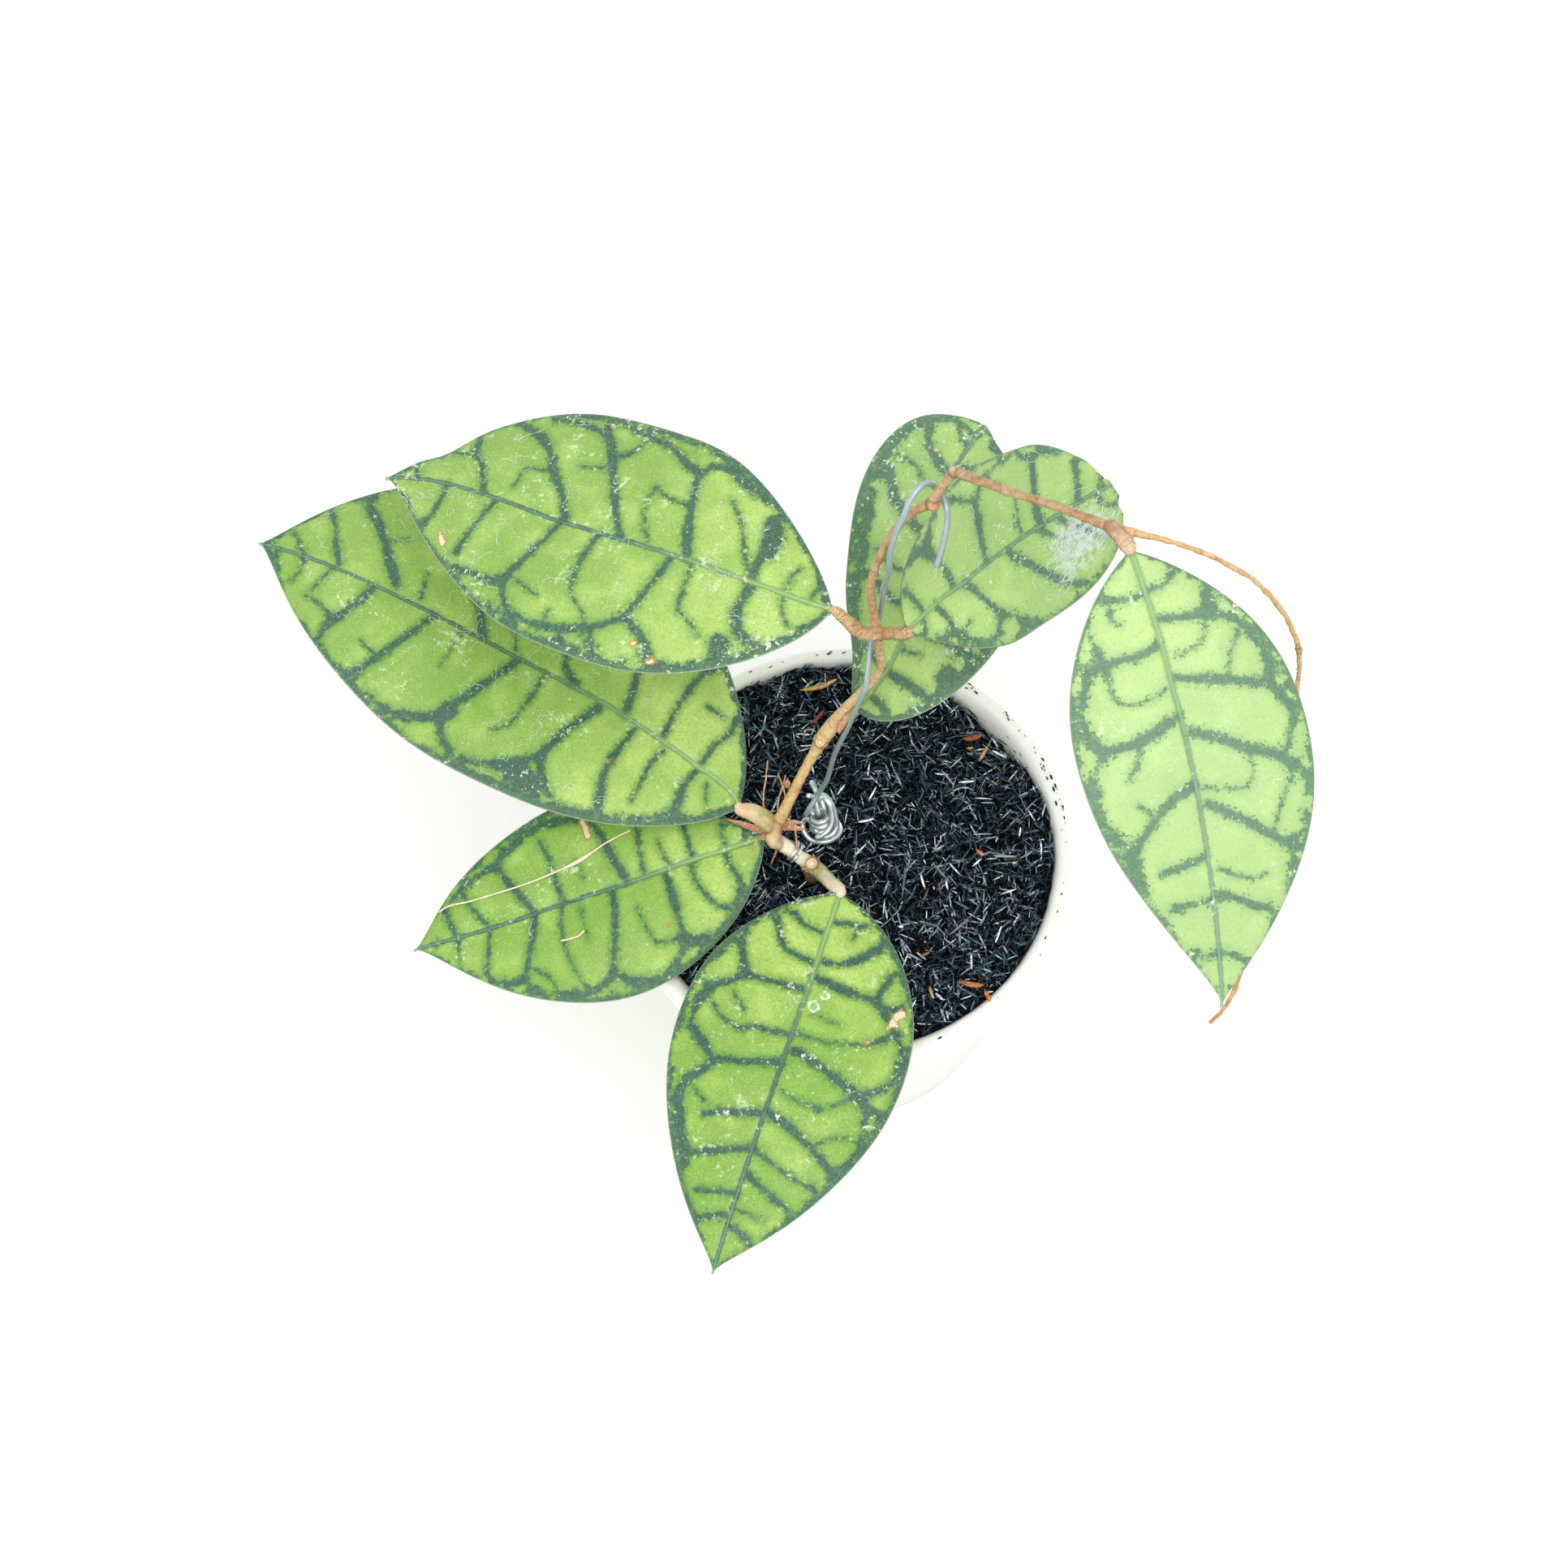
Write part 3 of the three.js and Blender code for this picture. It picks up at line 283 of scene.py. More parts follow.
        "haze": (0.8, -0.42, 0.085, 0.32),
    },
    "leaf_hanging": {
        "base": (63, 0.5, 248), "tip": (75, -88.5, 205), "rise": (8, 10), "bow": (2, 6), "half": (26.5, 24),
        "shape": (0.81, 1.08), "wave": 1, "waves": 2.3, "phase": 0.8, "pale": 0.72, "net": 0.72,
        "margin": 1, "age": 0.3, "spine": (5, 3, 2, 0, -1, -2, -4, -6, -7, -10, -10),
        "veins": (
            (1.4, 9, 5, 9, 30, 8, 50, 6.5, 75, 5.5, 95), (2.2, 15.5, 8, 16.3, 30, 16.8, 50, 17, 62),
            (3.2, 16.8, 66, 17.2, 69), (2, 17, 65, 14, 78, 12, 90, 11, 100),
            (1.8, 17.5, 70, 20, 83, 24, 90, 28, 88, 31, 84), (0.6, 17, 58, 20, 50, 23, 35, 24, 10),
            (2.4, 28.5, 5, 30, 25, 31.5, 45, 33, 60, 34, 72, 35, 82),
            (1.8, 34.5, 80, 31, 86, 27, 92, 22, 90), (1.8, 35, 80, 38, 86, 42, 90, 45, 84),
            (0.8, 31.5, 48, 28, 55, 25, 65, 22, 78), (1.6, 33.5, 80, 31.5, 92, 31, 100),
            (1.6, 36, 84, 36, 95), (2.4, 40.5, 5, 43, 25, 46, 42, 47.5, 55, 49, 68, 51.5, 80),
            (1.6, 49.5, 74, 47, 82, 43, 90), (1.8, 52, 82, 54, 92, 58, 96),
            (0.6, 48, 46, 52, 46, 54, 40, 53.5, 20, 52.5, 5),
            (2.6, 56, 5, 59, 22, 62, 42, 65, 62, 67, 78, 68, 84), (1.4, 67, 80, 66, 90, 62, 95),
            (1.6, 68, 84, 72, 92, 78, 98), (0.8, 65, 62, 61, 66, 56, 74, 54, 80),
            (1.2, 70, 5, 72, 25, 73, 45, 72.5, 60), (2, 75.5, 5, 77, 30, 79, 55, 80, 80, 82, 95),
            (1.6, 88, -5, 88.3, 25, 89.5, 55, 90, 85), (1.6, 9.3, -3, 9.8, -25, 9.5, -50, 8.5, -80),
            (0.8, 11, -62, 13, -58, 14.5, -45), (2.2, 21, -3, 22, -25, 22, -50, 22, -70, 22.5, -82),
            (1.4, 22, -65, 18, -75, 15, -88, 12, -100),
            (1, 22.5, -62, 27, -60, 30, -55, 31.5, -42, 31.5, -22, 30, -5),
            (2, 22.5, -82, 27, -86, 31, -90, 35, -86, 39, -77),
            (2.4, 36.5, -3, 38, -20, 39.5, -38, 40, -58, 40, -75), (1, 40, -42, 43, -46, 46, -56, 47, -60),
            (1.8, 40.5, -76, 44, -86, 47, -95), (1.8, 40, -77, 36, -86, 33, -93, 27, -97),
            (2.4, 51.5, -5, 53, -22, 56, -42, 59, -58, 62, -74, 64, -84), (0.9, 55.5, -50, 53, -58),
            (1.8, 62.5, -78, 59, -90, 52, -95, 47, -92), (2, 64, -84, 68, -90, 73, -92),
            (1.6, 67, -10, 68, -30, 69, -62), (1.6, 76, -3, 76.5, -30, 77, -60, 78, -80, 79.5, -98),
            (1.8, 87.5, -5, 88, -40, 88, -80),
        ),
    },
}
LEAVES = {name: {**USUAL_LEAF, **leaf} for name, leaf in LEAVES.items()}
BLADE = 1.2
BLADE_EDGE = 0.8
KEEL, KEEL_HALF = 0.7, 0.9
GROOVE, GROOVE_HALF = 0.35, 0.7    # along the midrib's upper side
VEIN_DIP, VEIN_DIP_REACH = 0.16, 1.2
BASE_HALF = 1.3
TIP_HALF = 0.35
TIP_DRAW = 0.05
LONGEST_FIELD = 6                  # no vein is felt further off than this
VEIN_SOFT = 0.45                   # how roundly veins meet
SCAR_SOFT = 0.3
FINE_VEIN = 1.3                    # narrower veins taper more
VEIN_SWELL, VEIN_SWELL_SIZE = 0.38, 4.5
HALF_BLADE = 30                    # a usual half width, for even steps along drawn lines
END_CROWD = 0.25                   # share of a blade's stations that crowd to its ends
# How far a torn end reaches in: a ragged share, a round share, and how steeply both fade.
TORN_RAGGED, TORN_ROUND, TORN_FADE = 0.012, 0.035, 12
MARGIN_LUMPS = ((0.45, 8, 5), (0.35, 3, 6))    # strength, size and seed
# Noises on a blade: the size of their lumps, their detail and their roughness.
BLADE_NOISES = {
    "coarse": (1.5, 2, 0.5), "fine": (0.34, 2, 0.5), "blotch": (3.4, 3, 0.6), "cloud": (9, 3, 0.5),
    "mottle": (0.7, 3, 0.6), "deep": (17, 2, 0.5), "grainy": (0.36, 1, 0.5), "spray": (0.95, 3, 0.7),
    "tone": (2.6, 3, 0.5), "spot": (1.4, 4, 0.65), "fuzz": (0.3, 1, 0.5), "drift": (11, 4, 0.6),
    "crust": (1.5, 5, 0.7), "tan": (1.7, 4, 0.65), "veil": (1.8, 4, 0.7), "pores": (0.35, 2, 0.5),
    "swell": (3.2, 2, 0.5),
}
DOT_SPACING = 2
PINPOINT_SPACING = 1.3

# ---------------------------------------------------------------- vine
# Each route is a list of x, y, z, radius. After it come the colours of its two ends and how wrinkled it is.
BARK = {
    "root_stock": (
        ((-8, -1, 80, 2.1), (-9, -4, 92, 2.2), (-9.3, -4.4, 102, 2.6)), "#3A3022", "#A39A5C", 0.6,
    ),
    "knee": (
        (
            (-9.3, -4.4, 102, 2.5), (-11.4, -3.4, 103.5, 2.05), (-13.5, -1.9, 104.9, 1.95),
            (-16.2, -0.6, 107.3, 2.25), (-18.1, 0.2, 109, 2.2),
        ),
        "#E2DBBC", "#F4EBD2", 0.02,
    ),
    "heel": (
        (
            (-17.1, 3.4, 112.4, 1.95), (-18.2, 1.7, 110.6, 2.2), (-18.6, 0.3, 109.4, 2.35),
            (-17.5, -0.4, 108.3, 2.25),
        ),
        "#B08148", "#D9B981", 0.15,
    ),
    "stem_lower": (
        (
            (-18, 2, 110, 2.1), (-16.2, 4.4, 113.6, 1.85), (-13, 7.7, 119, 1.65), (-9.4, 11.1, 126, 1.55),
            (-6.3, 13.6, 132, 1.7), (-4.2, 15.2, 136, 2.2), (-2, 16.4, 139.4, 2.3), (1, 18, 144, 1.65),
            (5.4, 19.8, 150, 1.35), (9.4, 20.8, 155.5, 1.25), (11.5, 21.7, 161, 1.25),
            (11.2, 22.1, 169, 1.3), (10.9, 22.1, 178, 1.6),
        ),
        "#D2A964", "#DDB88C", 0.3,
    ),
    "stem_upper": (
        (
            (10.9, 22.1, 178, 1.55), (9.8, 22.9, 189, 1.2), (9.3, 23.3, 200, 1.15), (10.6, 24.1, 208, 1.15),
            (13, 24.6, 217, 1.15), (16.2, 25.4, 225, 1.15), (20.4, 25.7, 230, 1.2), (23.2, 25.5, 233, 1.5),
            (25.9, 26.8, 238, 1.2), (28.4, 28.4, 240, 1.35),
        ),
        "#CDA070", "#A67C54", 0.3,
    ),
    "arm": (
        (
            (28.4, 28.4, 240, 1.35), (33.8, 24.4, 242, 1.25), (38.4, 21.1, 243, 1.15), (48.8, 15, 245, 1.1),
            (56, 10, 246.4, 1.25), (60, 7.3, 247, 1.5),
        ),
        "#9E7856", "#A47E52", 0.2,
    ),
    "tendril": (
        (
            (60, 7.3, 247, 1.1), (62.5, 5.2, 249.2, 1.15), (65.3, 3.3, 250.4, 1), (69.3, 1.4, 251, 0.7),
            (77.6, -2, 250, 0.7), (83.7, -4.2, 247, 0.65), (89.2, -6.1, 243, 0.65), (93.8, -8.7, 238, 0.65),
            (97.7, -11.9, 232, 0.7), (99.9, -14.9, 226, 0.8), (100.7, -18.9, 214, 0.65),
            (98.8, -25.4, 207, 0.65), (95.9, -34.4, 201, 0.65), (92.1, -47.4, 195, 0.65),
            (87.6, -61.5, 191, 0.6), (82.4, -76.7, 188, 0.6), (78.2, -83, 188, 0.6),
            (74.5, -86.5, 190, 0.6),
        ),
        "#CFA468", "#C08E50", 0.3,
    ),
}
# Stalks run from a joint of the stem to the base of a leaf, where each has the radius given last.
STALKS = {
    "leaf_left_upper": (
        ((10.9, 22.1, 178, 1.6), (6.6, 21.9, 180.5, 1.85), (3.6, 23.2, 184, 1.6)), "#B58A58", "#CBA47A",
        0.5, 1.2,
    ),
    "leaf_left_lower": (
        ((-18.2, 2.4, 110.4, 2.1), (-20.1, 4.6, 112.3, 2.6), (-23.3, 6.7, 113.2, 2.4)), "#8E8A3E",
        "#EBCFB0", 0.05, 1.75,
    ),
    "leaf_left_rim": (((-18, 2, 109, 1.8),), "#D9BC82", "#C9B272", 0.2, 1.3),
    "leaf_front": (
        ((-9.3, -4.4, 102, 2.2), (-6.6, -8.2, 104, 2), (-4.2, -12.2, 106.2, 1.95)), "#73783A", "#DCD0B8",
        0.03, 1.6,
    ),
    "leaf_back": (((-4.2, 15.2, 136, 1.8), (-0.6, 17.6, 139.6, 1.7)), "#D0A968", "#BFA16B", 0.2, 1.5),
    "leaf_right_upper": (
        ((10.9, 22.1, 178, 1.5), (13.6, 20.2, 182, 1.55)), "#B08656", "#BE9468", 0.45, 1.4,
    ),
    "leaf_hanging": (((60, 7.3, 247, 1.9), (61.6, 3.9, 248.6, 1.8)), "#8A5E42", "#DDBD9C", 0.3, 1.6),
}
# Swellings at the joints: centre, radius, colour.
JOINTS = (
    (-9.3, -4.4, 102, 2.4, "#A8934C"), (-18, 2, 110, 1.9, "#C79A58"), (-4.2, 15.2, 136, 2.3, "#D3C7A2"),
    (10.9, 22.1, 178, 1.95, "#DDB98C"), (23.4, 25.1, 232.8, 1.8, "#B97F50"),
    (28.4, 28.4, 240, 1.6, "#C9A17A"), (60, 7.3, 247, 1.9, "#C39468"), (99.9, -14.9, 226, 1, "#C08C50"),
)
# Stains on the bark: centre, how far they reach, how strong they are, colour.
STAINS = (
    ((-7.4, -7.2, 103.4), 3, 0.85, "#7C8232"), ((-4.2, -12.4, 106.4), 2, 0.5, "#C9A58E"),
    ((-20.4, 5.2, 113.4), 2.8, 0.75, "#938C3C"), ((-25.4, 7.2, 113.8), 2.6, 0.65, "#E0A98A"),
    ((-19.6, 0.4, 109.2), 1.8, 0.7, "#A67A3C"), ((10.9, 21.2, 178.6), 2.4, 0.6, "#EBD0AC"),
)
BARK_BLEND = 0.3                   # how softly the colours of routes meet
SEAM_HALF = 0.22
BARK_LUMPS = ((1, 1.6, 7), (0.5, 0.7, 8))    # share of the bumps' height, size and seed
CRACK_SPACING = 0.5
# Round scars where a shoot or a leaf came off: centre, the way it faces, radius.
CUT_SCARS = (
    ((-9, -6, 105.9), (0.05, -0.5, 0.86), 1.5), ((17, 17.2, 188), (0.5, -0.5, 0.7), 0.95),
    ((-4.6, 13.9, 137.6), (-0.1, -0.45, 0.9), 1.35),
)
# A scar's height and its share of the radius, from its foot in the bark to its hollow middle.
SCAR_PROFILE = (
    (-1.8, 1), (-0.3, 1.15), (0.08, 1.12), (0.14, 0.9), (0.17, 0.72), (0.2, 0.55), (0.24, 0.36), (0.3, 0.15),
)
# A ring of torn bark: centre, the way the stem runs there, radius.
TORN_BARK = ((-9.2, -5, 102.9), (-0.55, 0.6, 0.5), 2.15)
FLAKES = 22
ROOTLET_RADIUS = 0.35
ROOTLETS = (
    ((-19.5, 4.5, 111), (-20.4, 9.8, 112), (-19.5, 15.4, 113), (-18.4, 21.4, 113)),
    ((-17, 4.2, 112), (-16.4, 9, 113.5), (-15.2, 12.2, 114.5), (-14, 16.1, 114.5)),
    ((-12.4, -4.6, 108.4), (-12.6, 0, 110), (-12.6, 4, 110.3), (-14.6, 4.6, 112.6)),
    ((-19.5, 1, 108.6), (-22.6, 0.4, 110.6), (-23.4, -1.6, 110.8), (-23.6, -4, 110.4)),
    ((-17, 0, 106.5), (-18.2, -1.4, 104), (-19.6, -3, 100.5)),
    ((-16.6, 4.4, 112.4), (-14.4, 8.2, 113.6), (-14.8, 11.4, 114.6), (-16, 16.8, 114.8)),
)
# Dried sheaths: from, to, half width.
SHEATHS = (
    ((-17.5, 1, 108.2), (-31, 7.2, 109.6), 0.5), ((-17, 3, 110), (-9.6, 2.2, 109.4), 0.45),
    ((-17, 3.6, 110.6), (-10.2, 3.9, 110.4), 0.4), ((-13.8, 12.6, 113.8), (-13.6, 14.8, 115), 0.5),
    ((0.2, 14.6, 140.6), (4.6, 17.2, 148.2), 0.5),
)
SHEATH_RINGS = 17
SHEATH_COLUMNS = 7
SHEATH_THICK = 0.28
SHEATH_BOW = 0.8

# ---------------------------------------------------------------- wires
WIRE_RADIUS = 0.72
KNOT_WIRE_RADIUS = 0.74
COIL_TURNS = 3.5
COIL_STEPS = 9
WIRE_ROUTE = (
    (-9.5, 9, 104), (-8.7, 9.7, 105.4), (-7.4, 10.9, 106.8), (-6.2, 12.1, 108.2), (-5.2, 12.8, 110.2),
    (-4.2, 13.2, 112.4), (-3.1, 13.6, 116), (-1.1, 14.4, 128), (2.7, 15, 143), (5.4, 16, 153),
    (7.3, 17.2, 160), (8.2, 20.2, 163.5), (9.4, 25, 167.5), (11.2, 26.2, 177), (12, 24.9, 188),
    (12.5, 23.6, 199), (13.4, 21.7, 210), (13.6, 21.6, 218), (15, 22, 227), (16.6, 22.8, 232),
    (19.4, 26.2, 236), (22.4, 28.6, 236), (25, 28.9, 231.5), (26.6, 24.8, 230), (26.4, 22.6, 226),
    (25.3, 20.3, 221), (24, 18.6, 216),
)
WIRE_LEG = ((-1.8, 8.6, 94.4), (-3.4, 7.6, 92), (-5.4, 8.6, 88), (-6, 9.4, 76))
# The knot: a core of level turns, and the ends and loops that are wound over it.
KNOT_FOOT = (-5.7, 8, 96.2)
KNOT_TOP = (-5.8, 9.8, 102.2)
KNOT_RADII = (2.5, 2)
KNOT_WIRES = (
    ((-8.4, 12.9, 107.2), (-7.8, 13.6, 105.2), (-6.9, 13.7, 103.8), (-5.9, 13, 102.2)),
    ((-7.3, 18.1, 104.5), (-6.7, 16.5, 104.2), (-6.2, 15.2, 103.6), (-5.9, 13.9, 102.6)),
    ((-6.3, 14, 103.6), (-6.7, 13, 104.8), (-6.5, 11.5, 104), (-6.1, 10.1, 102.4), (-5.9, 9.9, 100)),
    (
        (-5.3, 14.6, 103.6), (-5.3, 13.7, 104.6), (-4.8, 11.8, 104.2), (-4.3, 10.2, 102.6),
        (-4.3, 9.6, 100.4),
    ),
    (
        (-5.9, 13.4, 104.4), (-4.5, 13.9, 104.8), (-3.1, 12.6, 104.4), (-2.1, 10.9, 102.8),
        (-1.6, 9.1, 100.4), (-1.5, 7.5, 98), (-2.7, 5.9, 97), (-4.5, 5.1, 97), (-6.2, 5.2, 97.2),
    ),
    (
        (-5.6, 13, 104.6), (-4.2, 12.4, 105.7), (-3, 11, 105.2), (-2.6, 9.2, 103.2), (-2.7, 7.5, 101.2),
        (-4, 5.7, 99.7), (-5.8, 4.7, 98.8), (-7.1, 4.5, 98.4),
    ),
    (
        (-7, 6.1, 98.6), (-7.8, 7.7, 99.4), (-8.7, 9.3, 99.4), (-9.7, 9.9, 98.8), (-10.5, 9.1, 97.8),
        (-10.4, 7.4, 96.9), (-8.9, 5.2, 96.2), (-6.3, 4.2, 96), (-3.5, 4.4, 96), (-1.1, 6, 96),
        (-0.5, 7.7, 96.2), (-1.2, 9.5, 96.6),
    ),
)
TIE_RADIUS = 0.42
TIE_AT = (-13, -1.8, 104.7)
TIE_ALONG = (-0.73, 0.49, 0.48)
TIE_LOOP = 2.55
TIE_STEPS = 12                     # points in one turn of the tie, which makes two
TIE_PITCH = 0.1
BRIGHT, DULL = 0.8, 0.5            # how metallic the zinc still is

# ---------------------------------------------------------------- loose bits
# Routes on a blade: share along it, share across it.
FIBRE_ROUTE = ((0.9, -0.86), (0.79, -0.42), (0.66, -0.31), (0.52, -0.34), (0.42, -0.46), (0.346, -0.546))
SMALL_FIBRE_ROUTE = ((0.535, 0.33), (0.555, 0.37), (0.575, 0.38), (0.6, 0.385))
# Husks on the fill that aren't charred, or are burnt to white ash: x, y, heading, length, width, colour.
LITTER = (
    (-3.9, 48.5, 4, 9, 2.4, "#B08440"), (-0.4, 49.2, 20, 5, 1.8, "#C89A52"),
    (-4.2, 39.5, 43, 5.5, 1.8, "#7A3C1C"), (37.4, 31.7, 6, 5.5, 2.8, "#8A4A28"),
    (36.4, 28.6, -5, 2, 1.2, "#C4802E"), (39.7, 26.4, 57, 5, 1.5, "#B58C58"),
    (35.8, -3.7, -48, 3, 1.4, "#C8742C"), (44.4, -7.6, -5, 1.6, 1.1, "#C89A60"),
    (29.6, -40.7, -16, 6.5, 2.4, "#A4662E"), (33.8, -44.3, -67, 5, 1.7, "#C07430"),
    (28.1, -24.1, 37, 7.5, 1.1, "#75606A"), (19.1, -42.2, -81, 4, 1.2, "#B08C5C"),
    (18.5, -31, 16, 2.6, 1.2, "#8C5A30"), (42, -5.6, -10, 6.5, 1.2, "#8E968C"),
    (25, -8.3, -58, 7.5, 0.9, "#66736E"), (14.7, -10.1, 80, 9, 0.8, "#56666A"),
    (6.5, 9, 6, 4.5, 1, "#F2F6F8"), (8.8, 16.4, 57, 4.5, 0.7, "#EAF0F2"),
    (19.9, -10.2, -81, 5, 0.8, "#F0F5F8"), (46.6, 0.6, 75, 2.6, 0.7, "#E4ECF0"),
    (26.1, -12.2, -86, 2.8, 0.7, "#E8EFF2"), (34.4, -6.6, 37, 3.2, 0.75, "#EEF2F2"),
    (0.5, 18.3, 48, 3.6, 0.75, "#E6EEF2"), (12.9, -22.5, -5, 1.3, 1.2, "#F4F8FA"),
    (37.9, -27.6, 65, 5, 0.65, "#EAF2F6"), (13.7, -45.5, 56, 4.2, 0.65, "#E6EEF2"),
)
LITTER_LIFT = 2.6
LITTER_ROLL = 2.6                  # radians, so that their hollow side looks down
SWELL, SWELL_AT, SWELL_HALF = 1.6, 0.63, 0.05    # a thicker spot on the long fibre
# Silk threads on each leaf: how many, where along it they lie, and how far across.
SILK = {
    "leaf_left_upper": (64, (0.08, 0.95), 0.85), "leaf_left_lower": (52, (0.1, 0.97), 0.85),
    "leaf_back": (14, (0.2, 0.9), 0.8), "leaf_right_upper": (20, (0.3, 0.95), 0.85),
    "leaf_left_rim": (2, (0.1, 0.9), 0.8), "leaf_front": (2, (0.1, 0.9), 0.8),
    "leaf_hanging": (2, (0.1, 0.9), 0.8),
}
SILK_SEED = 4
THREAD_POINTS = (6, 7)             # the fewest, and how many more at random
THREAD_STEP = (0.7, 0.8)           # the shortest, and how much more at random
THREAD_TURN = 1.1
THREAD_LIFT = 0.05
THREAD_WITHIN = ((0.03, 0.98), (-0.93, 0.93))
WEB_STRANDS = 110
WEB_AT = (0.785, -0.42)
WEB_SPREAD = (0.05, 0.17)
WEB_POINTS = 9
WEB_STEP = 0.8
WEB_CURL, WEB_TURN = 0.7, 0.6
WEB_LIFT = (0.25, 1.3)             # the lowest, and how much more at random
WEB_FUZZ, WEB_FUZZ_SIZE = 0.4, 1.5
WEB_ACROSS = 20                    # half the blade's width under the web
WEB_WITHIN = ((0.5, 0.93), (-0.97, 0.05))

# ---------------------------------------------------------------- stage, in metres and watts
FLOOR_REACH = 6
SENSOR = 36
AIM = (0, 0, 0.12)
SOFTBOXES = (("key_softbox", (0.2, -0.42, 1.3), 0.8, 7), ("fill_softbox", (-0.9, -0.55, 1.0), 1.2, 3.5))
STUDIO_WHITE = 1.02


# ---------------------------------------------------------------- helpers
def linear(code):
    """An sRGB hex colour as linear red, green, blue."""
    shares = [int(code[k:k + 2], 16) / 255 for k in (1, 3, 5)]
    return tuple(c / 12.92 if c <= 0.04045 else ((c + 0.055) / 1.055) ** 2.4 for c in shares)


def opaque(colour):
    return (*colour[:3], 1.0)


def per_mm(size):
    """The scale of a pattern in metre coordinates whose features are this many millimetres."""
    return 1 / (size * MM)


def grain(points, size, seed=0):
    """Smooth noise from -1 to 1 at points, with lumps of this size."""
    cell = np.asarray(points, float) / size
    low = np.floor(cell).astype(np.int64)
    part = cell - low
    part = part * part * (3 - 2 * part)
    total = np.zeros(len(cell))
    for corner in np.ndindex(2, 2, 2):
        at = low + corner
        key = at[:, 0] * 73856093 ^ at[:, 1] * 19349663 ^ at[:, 2] * 83492791 ^ (seed + 1) * 7919
        key = (key ^ (key >> 13)) * 1274126177 & 0x7FFFFFFF
        value = ((key ^ (key >> 15)) & 0xFFFF) / 32767.5 - 1
        total += value * np.prod(np.where(corner, part, 1 - part), axis=1)
    return total


def grain_on(line, size, seed):
    """Smooth noise along one or two columns of values."""
    flat = np.reshape(line, (len(line), -1))
    return grain(np.pad(flat, ((0, 0), (0, 3 - flat.shape[1]))), size, seed)


def lumps(points, kinds):
    """Sum of noises, each a height, a size and a seed."""
    return sum(height * grain(points, size, seed) for height, size, seed in kinds)


def unit(vectors):
    vectors = np.asarray(vectors, float)
    return vectors / np.linalg.norm(vectors, axis=-1, keepdims=True)


def circle(angle, radius=1):
    """Points at angles on a circle, in the last axis."""
    return np.stack([radius * np.cos(angle), radius * np.sin(angle)], axis=-1)


def smooth_route(points, per_span):
    """A centripetal Catmull-Rom curve through points, whose columns past the third just follow."""
    p = np.array(points, float)
    p = np.vstack([2 * p[0] - p[1], p, 2 * p[-1] - p[-2]])
    u = np.arange(per_span)[:, None] / per_span
    curve = []
    for a, b, c, d in zip(p, p[1:], p[2:], p[3:]):
        before, here, after = (np.linalg.norm((q - r)[:3]) ** 0.5 for q, r in ((b, a), (c, b), (d, c)))
        leave = ((b - a) / before - (c - a) / (before + here) + (c - b) / here) * here
        reach = ((c - b) / here - (d - b) / (here + after) + (d - c) / after) * here
        square, cube = 3 * (c - b) - 2 * leave - reach, 2 * (b - c) + leave + reach
        curve.append(b + u * leave + u**2 * square + u**3 * cube)
    return np.vstack([*curve, p[-2:-1]])


def ring_faces(rings, sides):
    """Quads between rings of points, and one face at each end."""
    i, k = np.meshgrid(np.arange(rings - 1), np.arange(sides), indexing="ij")
    a = (i * sides + k).ravel()
    b = (i * sides + (k + 1) % sides).ravel()
    quads = np.stack([a, b, b + sides, a + sides], axis=1).tolist()
    last = (rings - 1) * sides
    return [*quads, list(range(sides))[::-1], list(range(last, last + sides))]


def tube(route, sides=10, per_span=4, dome=0.6):
    """A round rod through x, y, z, radius, with domed ends, as a part."""
    curve = smooth_route(route, per_span)
    centre, radius = curve[:, :3], curve[:, 3]
    along = unit(np.gradient(centre, axis=0))
    bend = np.radians((80, 45))
    head = [centre[0] - along[0] * radius[0] * dome * math.sin(a) for a in bend]
    tail = [centre[-1] + along[-1] * radius[-1] * dome * math.sin(a) for a in bend[::-1]]
    centre = np.vstack([head, centre, tail])
    radius = np.concatenate([radius[0] * np.cos(bend), radius, radius[-1] * np.cos(bend[::-1])])
    along = np.vstack([along[:1], along[:1], along, along[-1:], along[-1:]])
    side = np.cross(along[0], (0, 0, 1) if abs(along[0][2]) < 0.9 else (1, 0, 0))
    angle = 2 * np.pi * np.arange(sides) / sides
    rings = []
    for c, r, way in zip(centre, radius, along):
        side = unit(side - way * (side @ way))
        other = np.cross(way, side)
        rings.append(c + r * (np.outer(np.cos(angle), side) + np.outer(np.sin(angle), other)))
    return np.vstack(rings), ring_faces(len(rings), sides), 0


def copies(bodies, faces, tint):
    """Many bodies that share one set of faces, as a part."""
    each = bodies.shape[1]
    every = [[v + k * each for v in face] for k in range(len(bodies)) for face in faces]
    return bodies.reshape(-1, 3), every, tint


def joined(parts):
    """Several parts as one. A part is its points, its faces, and a colour for all or each point, or 0."""
    points, faces, tints = [], [], []
    count = 0
    for part_points, part_faces, tint in parts:
        points.append(part_points)
        faces += [[v + count for v in face] for face in part_faces]
        count += len(part_points)
        tints.append(np.broadcast_to(tint, (len(part_points), 3) if np.ndim(tint) else len(part_points)))
    return np.vstack(points), faces, np.concatenate(tints)


def keep(mesh, key, values):
    """Keeps a number or a colour at each point of a mesh, for its material."""
    values = np.asarray(values, np.float32)
    if values.ndim == 1:
        mesh.attributes.new(key, "FLOAT", "POINT").data.foreach_set("value", values)
    else:
        rgba = np.ones((len(values), 4), np.float32)
        rgba[:, :3] = values
        mesh.attributes.new(key, "FLOAT_COLOR", "POINT").data.foreach_set("color", rgba.ravel())


